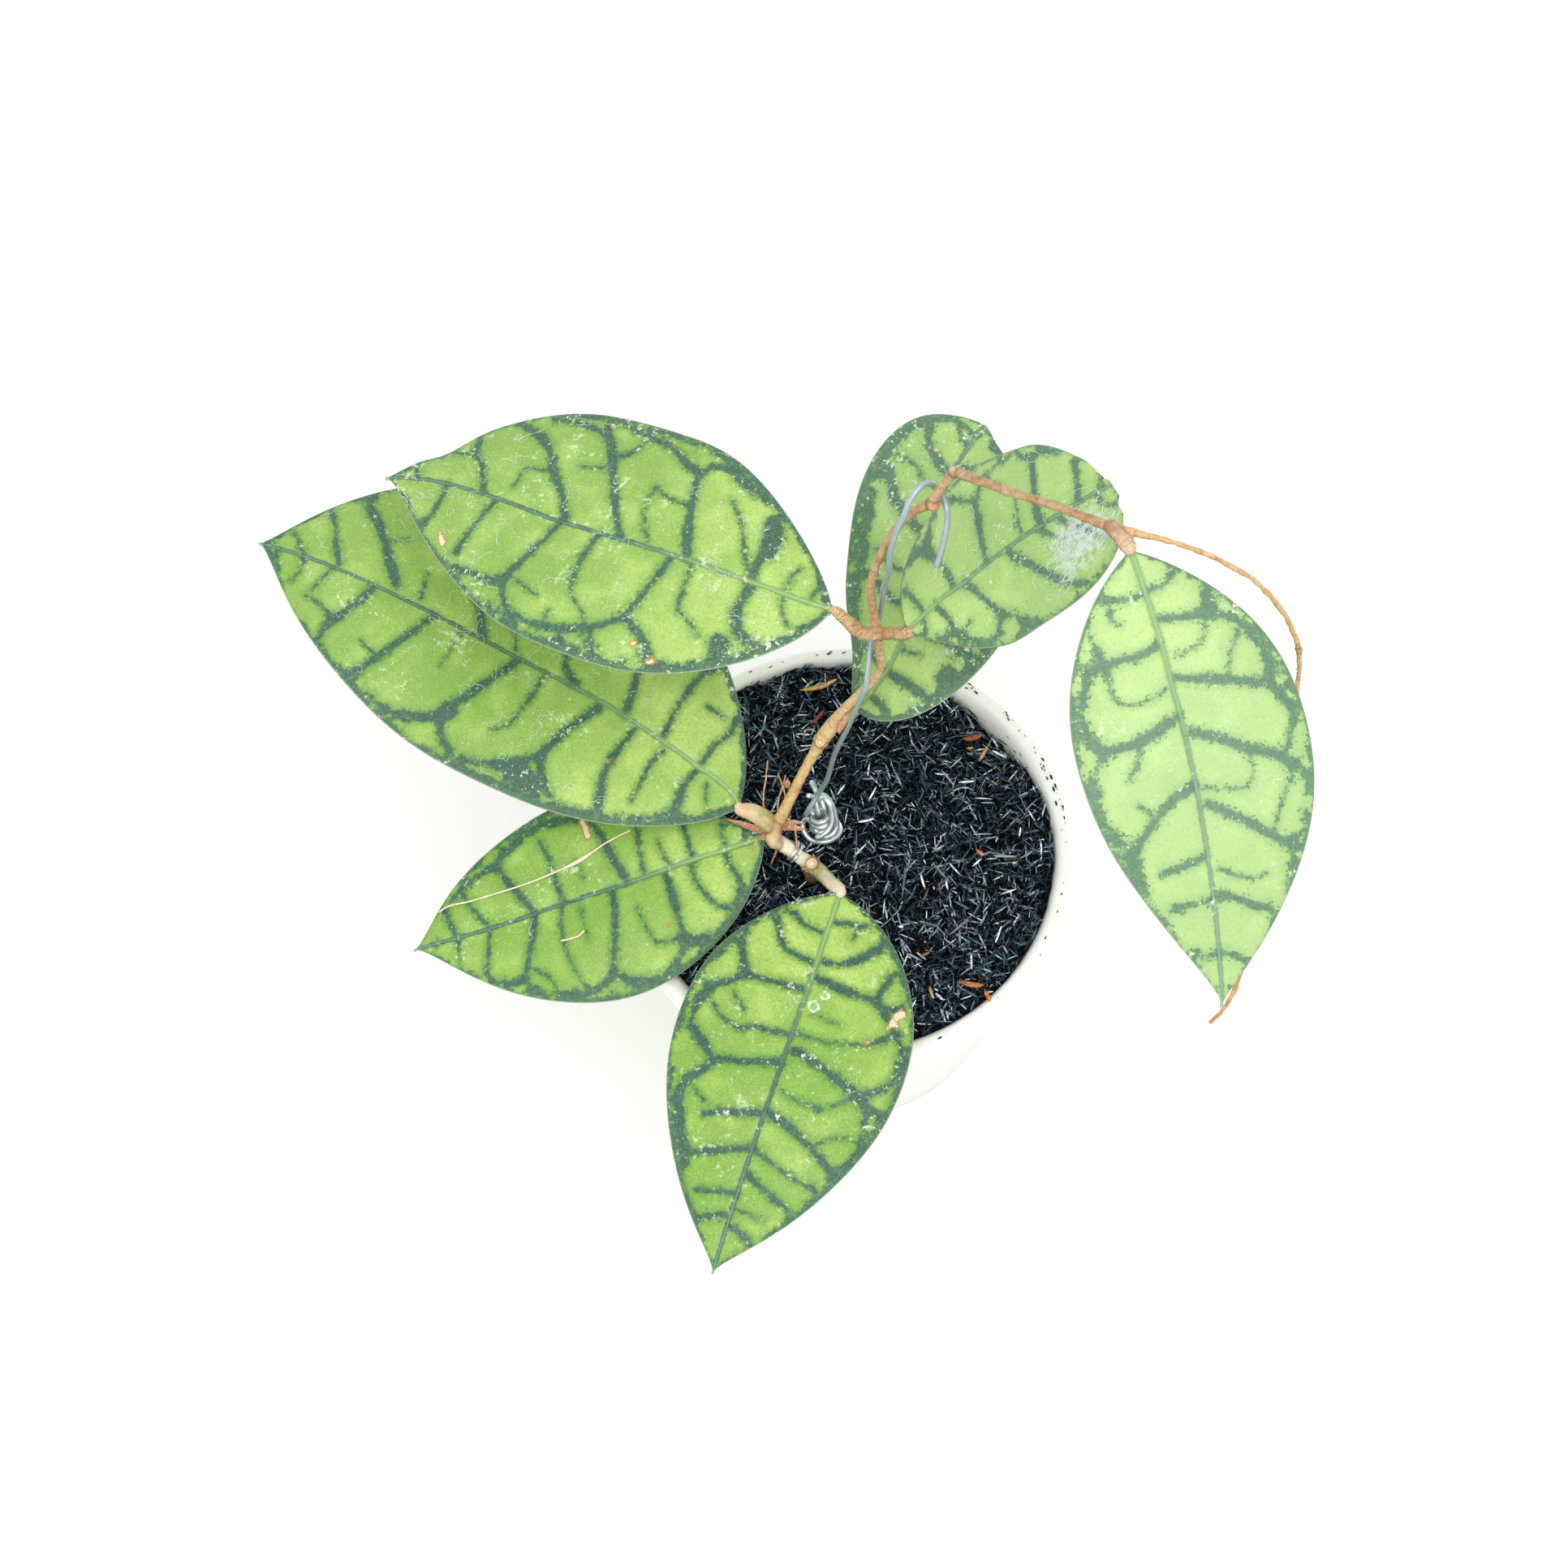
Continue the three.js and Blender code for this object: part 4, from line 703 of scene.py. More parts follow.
def build(name, parts, material, values=None):
    """A mesh piece from parts in millimetres that rides on the plant, tinted where they have colours."""
    points, faces, tint = joined(parts)
    mesh = bpy.data.meshes.new(name)
    mesh.from_pydata((points * MM).tolist(), [], faces)
    for key, value in (values or {}).items():
        keep(mesh, key, np.broadcast_to(value, len(points)))
    if tint.ndim == 2:
        keep(mesh, "tint", tint)
    shell = bmesh.new()
    shell.from_mesh(mesh)
    if shell.calc_volume(signed=True) < 0:
        bmesh.ops.reverse_faces(shell, faces=shell.faces)
    shell.to_mesh(mesh)
    shell.free()
    mesh.shade_smooth()
    mesh.materials.append(material)
    piece = bpy.data.objects.new(name, mesh)
    bpy.context.scene.collection.objects.link(piece)
    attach(piece, "root")
    return piece


def apply_modifiers(piece):
    """Replaces a piece's mesh by what its modifiers make of it."""
    graph = bpy.context.evaluated_depsgraph_get()
    mesh = bpy.data.meshes.new_from_object(piece.evaluated_get(graph))
    piece.modifiers.clear()
    piece.data = mesh


# ---------------------------------------------------------------- sizes and colours
def length(name, description, millimetres):
    return FloatProperty(
        name=name, description=description, default=millimetres * MM, unit="LENGTH", precision=5)


def colour(name, description, code):
    return FloatVectorProperty(name=name, description=description, subtype="COLOR", default=linear(code))


class HoyaPot(bpy.types.PropertyGroup):
    wall: length("Wall", "Thickness of the pot's wall", 1.6)
    sides: IntProperty(name="Sides", description="Points round the pot", default=192, min=24)
    plastic: colour("Plastic", "White of the plastic", "#EDEEEA")


class HoyaHusk(bpy.types.PropertyGroup):
    husks: IntProperty(name="Husks", description="Whole husks on the fill", default=6800, min=0)
    crumbs: IntProperty(name="Crumbs", description="Broken bits of husk", default=3400, min=0)
    length: length("Husk length", "Length of a whole husk", 5.8)
    width: length("Husk width", "Width of a whole husk", 0.72)
    seed: IntProperty(name="Seed", description="Draw of the husks' places", default=11)
    char: colour("Char", "Charred husk", "#02060A")
    ash: colour("Ash", "Ash on a husk", "#D2DBDE")


class HoyaLeaf(bpy.types.PropertyGroup):
    grid: length("Grid", "Size of a blade's faces", 0.6)
    patch: colour("Patch", "Green between the veins", "#7BA23F")
    young: colour("Young patch", "Yellower green near the base", "#B0CD6A")
    vein: colour("Vein", "Dark green of the net", "#274A42")
    halo: colour("Vein edge", "Green at the net's edge", "#558535")
    underside: colour("Underside", "Pale underside", "#A9C384")


class HoyaVine(bpy.types.PropertyGroup):
    voxel: length("Voxel", "Fineness of the fused vine", 0.3)
    knots: length("Knots", "Height of the bark's bumps", 0.16)
    speckle: colour("Speckle", "Dark specks on the bark", "#5E3A1E")
    slim: FloatProperty(
        name="Slimness", description="Thickness of the stems, as a share of what their routes say",
        default=0.9, min=0.5, max=1)
    root: colour("Air root", "Air roots and sheaths", "#A8714C")


class HoyaWire(bpy.types.PropertyGroup):
    sides: IntProperty(name="Sides", description="Points round the wire", default=16, min=6)
    zinc: colour("Zinc", "Bright zinc of the knot", "#F8FCFC")
    dull: colour("Dull zinc", "Weathered zinc of the long wire", "#A8B8BC")


class HoyaLitter(bpy.types.PropertyGroup):
    fibre: length("Fibre", "Thickness of the dry fibre", 0.46)
    silk: length("Silk", "Thickness of the silk threads", 0.08)
    straw: colour("Straw", "Dry straw", "#F4E8D8")
    web: colour("Web", "White silk", "#F6FBFA")


class HoyaStage(bpy.types.PropertyGroup):
    camera_at: FloatVectorProperty(
        name="Camera", description="Where the camera stands", subtype="TRANSLATION", unit="LENGTH",
        default=(-14.6 * MM, -270.3 * MM, 737.4 * MM))
    tilt: FloatProperty(
        name="Look down", description="Angle below the horizon", subtype="ANGLE", default=math.radians(65.5))
    roll: FloatProperty(
        name="Roll", description="Turn about the view's axis", subtype="ANGLE", default=math.radians(-4.6))
    lens: FloatProperty(name="Lens", description="Focal length in millimetres", default=60, min=10)
    floor: colour("Floor", "Pale floor", "#F4F4F2")


# ---------------------------------------------------------------- materials
TIMES = {"operation": "MULTIPLY"}
TIMES_PLUS = {"operation": "MULTIPLY_ADD"}
EASED = {"interpolation_type": "SMOOTHSTEP"}


def add_node(tree, kind, inputs=(), output=0, **settings):
    """Adds a shader node with its settings, sets or links its inputs, and gives one of its outputs.

    The inputs are those of a dict, or a tuple's in order. A string is a hex colour.
    """
    node = tree.nodes.new("ShaderNode" + kind)
    for name, value in settings.items():
        setattr(node, name, value)
    for key, value in inputs.items() if isinstance(inputs, dict) else enumerate(inputs):
        if isinstance(value, bpy.types.NodeSocket):
            tree.links.new(value, node.inputs[key])
        else:
            node.inputs[key].default_value = opaque(linear(value)) if isinstance(value, str) else value
    return node.outputs[output] if node.outputs else None


def new_material(name, finish, *choices):
    """A material whose shader takes what a finish works out from the place on the piece."""
    material = bpy.data.materials.new(name)
    material.use_nodes = True
    material.node_tree.nodes.clear()
    node = partial(add_node, material.node_tree)
    place = node("TexCoord", output="Object")
    shader = node("BsdfPrincipled", finish(node, place, *choices))
    node("OutputMaterial", {"Surface": shader})
    return material


def painted(node, under, *layers, fade="SMOOTHSTEP"):
    """A colour with tones laid over it.

    A layer is its tone and its share, or its tone, a field, two limits of that, the shares there, and
    perhaps masks that thin it.
    """
    for tone, share, *rest in layers:
        if rest:
            share = node("MapRange", (share, *rest[:4]), interpolation_type=fade)
        for mask in rest[4:]:
            share = node("Math", (share, mask), **TIMES)
        under = node("Mix", {0: share, 6: under, 7: tone}, 2, data_type="RGBA")
    return under


def polypropylene(node, place, look):
    """Polypropylene, injection-moulded: milky white and satin, with black dust where husk rubbed."""
    cloud = node("TexNoise", {"Vector": place, "Scale": per_mm(14), "Detail": 3})
    dusty = node("Attribute", output="Fac", attribute_name="dusty")
    dust = node("TexNoise", {"Vector": place, "Scale": per_mm(0.8), "Detail": 6, "Roughness": 0.7})
    film = node("Math", (dust, dusty), **TIMES)
    grit = node("TexNoise", {"Vector": place, "Scale": per_mm(0.5), "Detail": 2})
    return {
        "Base Color": painted(
            node, opaque(look.plastic), ("#E6E6E1", cloud), ("#3A3A36", film, 0.58, 0.66, 0, 0.7),
            fade="LINEAR"),
        "Roughness": node("MapRange", (cloud, 0, 1, 0.34, 0.5)), "IOR": 1.49,
        "Normal": node("Bump", {"Height": grit, "Strength": 0.12, "Distance": 0.05 * MM}),
        "Subsurface Weight": 0.5, "Subsurface Radius": (1.0, 0.97, 0.9), "Subsurface Scale": 3 * MM,
    }


def charred_husk(node, place, sheen, gloss):
    """Rice husk, carbonised: black ribbed scales with a blue-grey gleam where the silica skin is whole,
    partly painted into the lighter husk tones.
    """
    tint = node("Attribute", output="Color", attribute_name="tint")
    blotch = node("TexNoise", {"Vector": place, "Scale": per_mm(1.1), "Detail": 5, "Roughness": 0.65})
    bright = node("MapRange", (blotch, 0.3, 0.72, 0.3, 2.1))
    rib = node("TexNoise", {"Vector": place, "Scale": per_mm(0.28), "Detail": 2})
    return {
        "Base Color": node("Mix", {0: 1, 6: tint, 7: bright}, 2, data_type="RGBA", blend_type="MULTIPLY"),
        "Roughness": node("MapRange", (blotch, 0.3, 0.7, sheen, sheen + 0.3)), "IOR": 1.5,
        "Normal": node("Bump", {"Height": rib, "Strength": 0.35, "Distance": 0.12 * MM}),
        "Specular IOR Level": gloss, "Specular Tint": "#C4D8EC",
    }


def hoya_blade(node, place, look):
    """Hoya leaf, grown: thick and waxy, light green patches in a dark fuzzy net, flecked and scratched."""
    vein, rib, edge, along, scar, drop, haze, under, pale, age = (
        node("Attribute", output="Fac", attribute_name=key)
        for key in ("vein", "rib", "edge", "along", "scar", "drop", "haze", "under", "pale", "age"))
    noise = {
        name: node(
            "TexNoise", {"Vector": place, "Scale": per_mm(size), "Detail": detail, "Roughness": rough})
        for name, (size, detail, rough) in BLADE_NOISES.items()
    }

    # The net's edge is ragged at two sizes, a millimetre and a third of one, and blotched near the margin.
    border = node("MapRange", (edge, 1, 9, 5.5, 0.6), **EASED)
    ragged = node("Math", (noise["coarse"], 1.2, -0.85), **TIMES_PLUS)
    ragged = node("Math", (noise["fine"], 0.5, ragged), **TIMES_PLUS)
    ragged = node("Math", (ragged, node("Math", (pale, -0.55, 1.1), **TIMES_PLUS)), **TIMES)
    ragged = node("Math", (node("Math", (noise["blotch"], -0.5)), border, ragged), **TIMES_PLUS)
    reach = node("Math", (vein, ragged))
    ink = node("MapRange", (reach, -0.4, 0.5, 1, 0), **EASED)

    # Patches: clouds of lighter and yellower green, a fine even mottle, and a greener edge by the net.
    toward_base = node("MapRange", (along, 0.05, 0.5, 0.9, 0), **EASED)
    cloudy = node("MapRange", (noise["cloud"], 0.42, 0.7, 0, 0.5), **EASED)
    lighter = node("Math", (pale, 0.5, node("Math", (toward_base, cloudy))), use_clamp=True, **TIMES_PLUS)
    patch = painted(
        node, opaque(look.patch), (opaque(look.young), lighter),
        ("#6F9C2E", noise["deep"], 0.45, 0.66, 0, 0.5), ("#668F35", noise["mottle"], 0.42, 0.7, 0, 0.45),
        ("#BDD684", noise["grainy"], 0.5, 0.72, 0, 0.35), (opaque(look.halo), reach, 0, 2.2, 0.6, 0),
        ("#B2CE98", node("Math", (pale, 0.72), **TIMES)))

    # A dark spray lies close to the veins, and small dots of vein colour stand off them.
    spray = node("Math", (node("MapRange", (reach, 0, 1.9, 0.17, 0), **EASED), noise["spray"]))
    dot = node("TexVoronoi", {"Vector": place, "Scale": per_mm(DOT_SPACING)}, "Distance")
    chance = node("SeparateColor", (dot.node.outputs["Color"],))
    chosen = node("MapRange", (chance, 0.68, 0.72), **EASED)
    beside = node("MapRange", (reach, 1.2, 3.6, 1, 0.3), **EASED)
    patch = painted(
        node, patch, ("#3B6E3E", spray, 0.68, 0.74, 0, 0.75),
        ("#3F7238", dot, 0.08, 0.2, 0.4, 0, chosen, beside))

    # Veins: dark and bluish in the net, greener in the band along the margin.
    inward = node("MapRange", (edge, 1, 9, 1, 0.15), **EASED)
    net = painted(
        node, opaque(look.vein), ("#3A6652", noise["tone"], 0.3, 0.72, 0, 0.5),
        ("#3D6849", edge, 0.3, 3.4, 0.5, 0), ("#5E8A4C", noise["spot"], 0.52, 0.64, 0, 0.6, inward),
        ("#8CB088", node("Math", (pale, 0.4), **TIMES)), ("#8FA894", noise["fuzz"], 0.52, 0.7, 0, 0.4))

    # Midrib: pale green by the stalk, then as dark as the veins, with a fine light line down its middle.
    flank = node("Math", (node("Math", (noise["fine"], noise["coarse"])), 0.9, rib), **TIMES_PLUS)
    bold = node("Math", (pale, -0.35, 1), **TIMES_PLUS)
    side = painted(node, "#749C54", (net, along, 0.1, 0.5, 0, 1))
    core = painted(node, "#6A897C", ("#A4C084", toward_base), ("#84AA88", pale))

    # Hard-water flecks: pinpoints all over, and thicker crusts in drifts.
    crust = node("Math", (noise["drift"], 0.62, noise["crust"]), **TIMES_PLUS)
    crust = node("Math", (age, 0.06, crust), **TIMES_PLUS)
    crust = node("MapRange", (crust, 0.99, 1.045, 0, 0.8), **EASED)
    pin = node("TexVoronoi", {"Vector": place, "Scale": per_mm(PINPOINT_SPACING)}, "Distance")
    size = node("Math", (node("SeparateColor", (pin.node.outputs["Color"],)), 0.32, -0.25), **TIMES_PLUS)
    size = node("Math", (noise["drift"], 0.2, size), **TIMES_PLUS)
    pin = node("MapRange", (node("Math", (size, pin), operation="SUBTRACT"), 0, 0.06, 0, 0.8), **EASED)
    fleck = node("Math", (crust, pin), operation="MAXIMUM")
    bare = node("Math", (fleck, node("Math", (1, under), operation="SUBTRACT")), **TIMES)
    seen = node("Math", (ink, 0.4, 0.6), **TIMES_PLUS)

    # Tan flecks, torn scars, rings that water has left, and the web's fine silk, which whitens the blade.
    tan = node("Math", (age, 0.12, noise["tan"]), **TIMES_PLUS)
    between = node("MapRange", (vein, 0.4, 1.2, 1, 0.25), **EASED)
    tear = node("Math", (scar, ragged))
    ring = node("Math", (drop, ragged))
    veil = node("MapRange", (noise["veil"], 0.36, 0.62, 0, 0.9), **EASED)

    # Over these lies the margin's hair-thin pale line, a painted highlight where the thick edge catches
    # light, and the underside shows the net faintly.
    below = painted(node, opaque(look.underside), ("#6E9266", node("Math", (ink, 0.35), **TIMES)))
    tone = painted(
        node, patch, (net, node("Math", (ink, 0.95), **TIMES)), (side, flank, 1.35, 2.1, 0.95, 0, bold),
        (core, rib, 0.15, 0.45, 0.85, 0), ("#B3C4A4", edge, 0.08, 0.4, 0.75, 0),
        ("#DCE8D0", node("Math", (bare, seen), **TIMES)), ("#D8C2A6", tan, 0.755, 0.79, 0, 0.85, between),
        ("#A8843E", tear, 0.1, 0.6, 0.9, 0), ("#E2CDB4", tear, -0.3, 0.15, 1, 0),
        ("#DDE8DC", ring, 0.1, 0.5, 0.85, 0), ("#DCE9E4", node("Math", (haze, veil), **TIMES)),
        (below, under))
    height = node("Math", (noise["swell"], 3, noise["pores"]), **TIMES_PLUS)
    return {
        "Base Color": tone, "Roughness": node("Math", (bare, 0.25, 0.42), **TIMES_PLUS), "IOR": 1.45,
        "Normal": node("Bump", {"Height": height, "Strength": 0.3, "Distance": 0.1 * MM}),
        "Specular IOR Level": 0.35,
    }


def young_bark(node, place, look):
    """Young vine bark, grown, half dried: tan skin with brown specks, fine cracks across, a dull gleam, and
    painted shade.
    """
    tint = node("Attribute", output="Color", attribute_name="tint")
    along, below, wrinkle, seam = (
        node("Attribute", output="Fac", attribute_name=key) for key in ("along", "under", "wrinkle", "seam"))
    specks, streak, blotch = (
        node("TexNoise", {"Vector": place, "Scale": per_mm(size), "Detail": detail, "Roughness": rough})
        for size, detail, rough in ((0.45, 3, 0.7), (2.2, 3, 0.5), (3.4, 4, 0.6)))
    # Painted shade: the bark is painted darker brown, with denser specks, where it faces sideways or down,
    # and darker in the crease where two routes meet.
    crowd = node("Math", (below, 0.09, specks), **TIMES_PLUS)
    dry = node("Math", (wrinkle, 0.5), operation="POWER")
    wobble = node("Math", (streak, 2.6, along), **TIMES_PLUS)
    ring = node("TexNoise", {"W": wobble, "Scale": 1 / CRACK_SPACING, "Detail": 1}, noise_dimensions="1D")
    crack = node("Math", (node("MapRange", (ring, 0.5, 0.64, 0, 0.8)), wrinkle), **TIMES)
    height = node("Math", (crack, -1.2, specks), **TIMES_PLUS)
    return {
        "Base Color": painted(
            node, tint, ("#F0DFB4", streak, 0.35, 0.7, 0, 0.35), ("#8E6436", blotch, 0.5, 0.68, 0, 0.4, dry),
            ("#85592A", below, 0, 1, 0, 0.55), (opaque(look.speckle), crowd, 0.54, 0.64, 0, 0.9, dry),
            ("#5E3C20", crack), ("#6A4222", seam, 0, 1, 0, 0.6), fade="LINEAR"),
        "Normal": node("Bump", {"Height": height, "Strength": 0.5, "Distance": 0.15 * MM}),
        "Roughness": 0.28, "IOR": 1.5,
    }


def dry_skin(node, place, tone, other, streak_size):
    """Plant skin, dried and papery: dull, streaked along its length, with darker shrivelled spots."""
    streak = node("TexNoise", {"Vector": place, "Scale": per_mm(streak_size), "Detail": 5, "Roughness": 0.7})
    return {
        "Base Color": painted(node, opaque(tone), (other, streak, 0.35, 0.65, 0, 1), fade="LINEAR"),
        "Normal": node("Bump", {"Height": streak, "Strength": 0.6, "Distance": 0.12 * MM}),
        "Roughness": 0.75, "IOR": 1.45, "Specular IOR Level": 0.3,
    }


def galvanised_steel(node, place, zinc, bright):
    """Steel wire, galvanised: zinc grey with soft gleams, dulled by whitish oxide where it isn't bright."""
    bloom = node("TexNoise", {"Vector": place, "Scale": per_mm(3), "Detail": 3})
    return {
        "Base Color": painted(node, opaque(zinc), ("#94A6AA", bloom, 0.35, 0.7, 0, 1), fade="LINEAR"),
        "Roughness": node("MapRange", (bloom, 0, 1, 0.22, 0.4)),
        "Metallic": node("MapRange", (bloom, 0.35, 0.7, bright, bright - 0.25)),
        "Normal": node("Bump", {"Height": bloom, "Strength": 0.08, "Distance": 0.1 * MM}),
    }


def seamless_paper(node, place, look):
    """Paper, calendered, rolled out as a studio floor: pale, matt and even."""
    tooth = node("TexNoise", {"Vector": place, "Scale": per_mm(4), "Detail": 3})
    return {
        "Base Color": painted(node, opaque(look.floor), ("#F1F1EF", tooth)),
        "Roughness": 0.9, "Specular IOR Level": 0.1,
    }


# ---------------------------------------------------------------- shapes: pot and fill
def wall_radius(z):
    """The outside of the tapered wall at a height."""
    return BASE_RADIUS + (LIP_INNER_RADIUS - BASE_RADIUS) * z / POT_HEIGHT


def bore_radius(z):
    return wall_radius(z) - bpy.context.scene.hoya_pot.wall / MM


def pot_profile(wall):
    """Radius, height and how dusty, from under the floor out, up, over the rim and down inside."""
    skirt = RIM_RADIUS - SKIRT_WALL
    under = POT_HEIGHT - LIP_THICK
    hem = POT_HEIGHT - SKIRT_DROP
    bore = wall_radius(FLOOR) - wall
    outside = [(12, 0), (38, 0), (BASE_RADIUS - 1.4, 0), (BASE_RADIUS - BEVEL, BEVEL)]
    outside += [(wall_radius(z), z) for z in (1.6, 3, 8, 20, 35, 50, 65, 80, 92, under - 0.6, under)]
    rim = [
        (skirt, under), (skirt, under - 0.5), (skirt, hem + BEVEL), (skirt + 0.15, hem),
        (RIM_RADIUS - 0.25, hem), (RIM_RADIUS, hem + BEVEL), (RIM_RADIUS, hem + 1.2),
        (RIM_RADIUS, POT_HEIGHT - 1.8),
    ]
    roll = circle(np.radians((10, 30, 50, 70, 88)), LIP_ROLL)
    roll += (RIM_RADIUS - LIP_ROLL, POT_HEIGHT - LIP_ROLL)
    lip = [
        (LIP_INNER_RADIUS + 0.3, POT_HEIGHT), (LIP_INNER_RADIUS - 0.4, POT_HEIGHT - 0.15),
        (LIP_INNER_RADIUS - 1, POT_HEIGHT - 0.6), (wall_radius(POT_HEIGHT - 2) - wall, POT_HEIGHT - 2),
    ]
    inside = [(wall_radius(z) - wall, z) for z in (95, 90, 85, 80, 75, 65, 50, 30, 12, FLOOR + 1.5)]
    inside += [(bore - 0.5, FLOOR + 0.5), (bore - 1.4, FLOOR), (20, FLOOR)]
    spans = ((outside + rim, 0), ([*roll, *lip], 0.85), (inside, 1))
    return np.array([(r, z, dusty) for span, dusty in spans for r, z in span])


def fill_level(x, y):
    """The husk's level at arrays of places: highest at the wall, cloddy there, sunk at the back right."""
    out = np.minimum(np.hypot(x, y) / bore_radius(FILL_HEIGHT), 1)
    off = (np.degrees(np.arctan2(y, x)) - HOLLOW_BEARING + 540) % 360 - 180
    sunk = HOLLOW_DEPTH * np.exp(-(off / HOLLOW_SPREAD) ** 2) * out**2.4
    dent = np.hypot(x - STEM_DIP_AT[0], y - STEM_DIP_AT[1]) / STEM_DIP_RADIUS
    clods = EDGE_CLOD * out**6 * grain_on(np.column_stack([x, y]), EDGE_CLOD_SIZE, 9)
    return FILL_HEIGHT - FILL_SAG * (1 - out) - sunk - STEM_DIP * np.exp(-(dent**2)) + clods


def husk_pattern():
    """One husk, one unit long and wide: a slim ridged boat with pointed ends, as points and faces."""
    stations = np.array((-0.5, -0.3, 0.04, 0.34, 0.5))
    girth = np.array((0.12, 0.8, 1, 0.72, 0.08))
    arc = np.radians((-85, -28, 28, 85))
    skin = np.stack([np.sin(arc) * 0.5, 0.5 - np.cos(arc) * 0.5], axis=1)
    lining = np.stack([np.sin(arc[2:0:-1]) * 0.4, 0.5 - np.cos(arc[2:0:-1]) * 0.3], axis=1)
    section = np.vstack([skin, lining])
    points = [(x, g * y, g * z + 0.35 * x**2) for x, g in zip(stations, girth) for y, z in section]
    return np.array(points), ring_faces(len(stations), len(section))


def turned(pattern, heading, pitch, roll, stretch):
    """Copies of a pattern, each stretched, rolled, pitched and headed its own way."""
    points = pattern[None] * stretch[:, None]
    for angle, first, second in ((roll, 1, 2), (pitch, 0, 2), (heading, 0, 1)):
        c, s = np.cos(angle)[:, None], np.sin(angle)[:, None]
        a, b = points[..., first].copy(), points[..., second].copy()
        points[..., first], points[..., second] = c * a - s * b, s * a + c * b
    return points


def husk_pieces(look, random, count, share, lift):
    """Husks at random on the fill, between two shares of full size and two lifts, as a part."""
    pattern, faces = husk_pattern()
    bearing = 2 * np.pi * random.random(4 * count)
    places = circle(bearing, (bore_radius(FILL_HEIGHT) - WALL_GAP) * np.sqrt(random.random(4 * count)))
    heading = 2 * np.pi * random.random(len(places))
    size = share[0] + (share[1] - share[0]) * random.random(len(places))
    long = look.length / MM * size
    reach = circle(heading, long / 2)
    level = fill_level(*places.T)
    ends = np.maximum(*(np.linalg.norm(places + sign * reach, axis=1) for sign in (1, -1)))
    kept = np.flatnonzero(ends < bore_radius(level) + 0.2)[:count]
    n = len(kept)
    width = look.width / MM * (0.55 + 0.6 * random.random(n)) * np.sqrt(size[kept])
    stretch = np.stack([long[kept], width, width * (0.5 + 0.5 * random.random(n))], axis=1)
    pitch = HUSK_TILT * random.standard_normal(n).clip(-1.6, 1.6)
    bodies = turned(pattern, heading[kept], pitch, 2 * np.pi * random.random(n), stretch)
    height = level[kept] + lift[0] + (lift[1] - lift[0]) * random.random(n)
    bodies += np.column_stack([places[kept], height])[:, None]
    tones = [look.char[:], *map(linear, HUSK_GREYS_AND_GLINTS), look.ash[:], linear(BROWN_HUSK)]
    pick = random.choice(len(tones), n, p=HUSK_SHARES)
    return copies(bodies, faces, np.repeat(np.array(tones)[pick], len(pattern), axis=0))


def fill_bed():
    """The fill under the loose husks: a rough top on a plain body that stands in the pot, as a part."""
    low, rim = FLOOR + WALL_GAP, bore_radius(FILL_HEIGHT)
    angle = 2 * np.pi * np.arange(BED_SIDES) / BED_SIDES
    share = (np.arange(BED_RINGS) + 1) / BED_RINGS
    places = circle(angle, rim * share[:, None]).reshape(-1, 2)
    level = fill_level(*places.T)
    z = level + lumps(np.column_stack([places, level]), BED_LUMPS) - BED_DROP
    shrink = (bore_radius(z) - WALL_GAP) / rim
    top = np.column_stack([places * shrink[:, None], z])
    foot = np.column_stack([circle(angle, bore_radius(low) - 1.6), np.full(BED_SIDES, low)])
    return np.vstack([top, foot]), ring_faces(BED_RINGS + 1, BED_SIDES), linear(BED_TONE)


# ---------------------------------------------------------------- shapes: leaves
def blade_length(leaf):
    return np.linalg.norm(np.subtract(leaf["tip"], leaf["base"]))


def leaf_outline(leaf, t, right):
    """Half widths at shares t along the blade, on the side that right says."""
    def drawn(at):
        draw = (1 - np.exp(-(1 - at) / TIP_DRAW)) ** 0.7
        return at ** leaf["shape"][0] * (1 - at) ** leaf["shape"][1] * draw

    share = drawn(t) / drawn(np.linspace(0.005, 0.995, 199)).max()
    half = np.where(right, *leaf["half"]) * share
    for at, side, depth, span in leaf["notches"]:
        cut = 1 - depth * np.exp(-(((t - at) / span) ** 2))
        half = np.where(right == (side > 0), half * cut, half)
    return np.maximum(half, np.where(t < 0.5, BASE_HALF, TIP_HALF))


def leaf_surface(leaf, t, s):
    """Points of a blade's middle surface and the way it faces, at arrays of t along and s across."""
    base, tip = np.array(leaf["base"], float), np.array(leaf["tip"], float)
    chord = tip - base
    ahead = unit(chord)
    up = unit(np.array((0, 0, 1)) - ahead * ahead[2])
    across = np.cross(up, ahead)
    roll = math.radians(leaf["roll"])
    face = up * math.cos(roll) + across * math.sin(roll)
    side = across * math.cos(roll) - up * math.sin(roll)
    handles = [base + chord * (k + 1) / 3 + face * leaf["rise"][k] + side * leaf["bow"][k] for k in (0, 1)]
    knots = [base, *handles, tip]
    u, v = t[:, None], 1 - t[:, None]
    centre = v**3 * knots[0] + 3 * v * v * u * knots[1] + 3 * v * u * u * knots[2] + u**3 * knots[3]
    steps = [b - a for a, b in zip(knots, knots[1:])]
    along = unit(v * v * steps[0] + 2 * u * v * steps[1] + u * u * steps[2])
    twist = np.radians(leaf["twist"]) * (u - 0.5)
    normal = face * np.cos(twist) + side * np.sin(twist)
    normal = unit(normal - along * np.sum(normal * along, axis=1, keepdims=True))
    outward = np.cross(normal, along)
    half = leaf_outline(leaf, t, s > 0)
    a = np.abs(s)
    turn = leaf["waves"] * t + leaf["phase"] + np.where(s > 0, 0, 0.37)
    ripple = leaf["wave"] * a * a * np.sin(2 * np.pi * turn) * np.sin(np.pi * t)
    height = half * (leaf["fold"] * a - leaf["curl"] * a * a) + ripple
    return centre + outward * (half * s)[:, None] + normal * height[:, None], normal


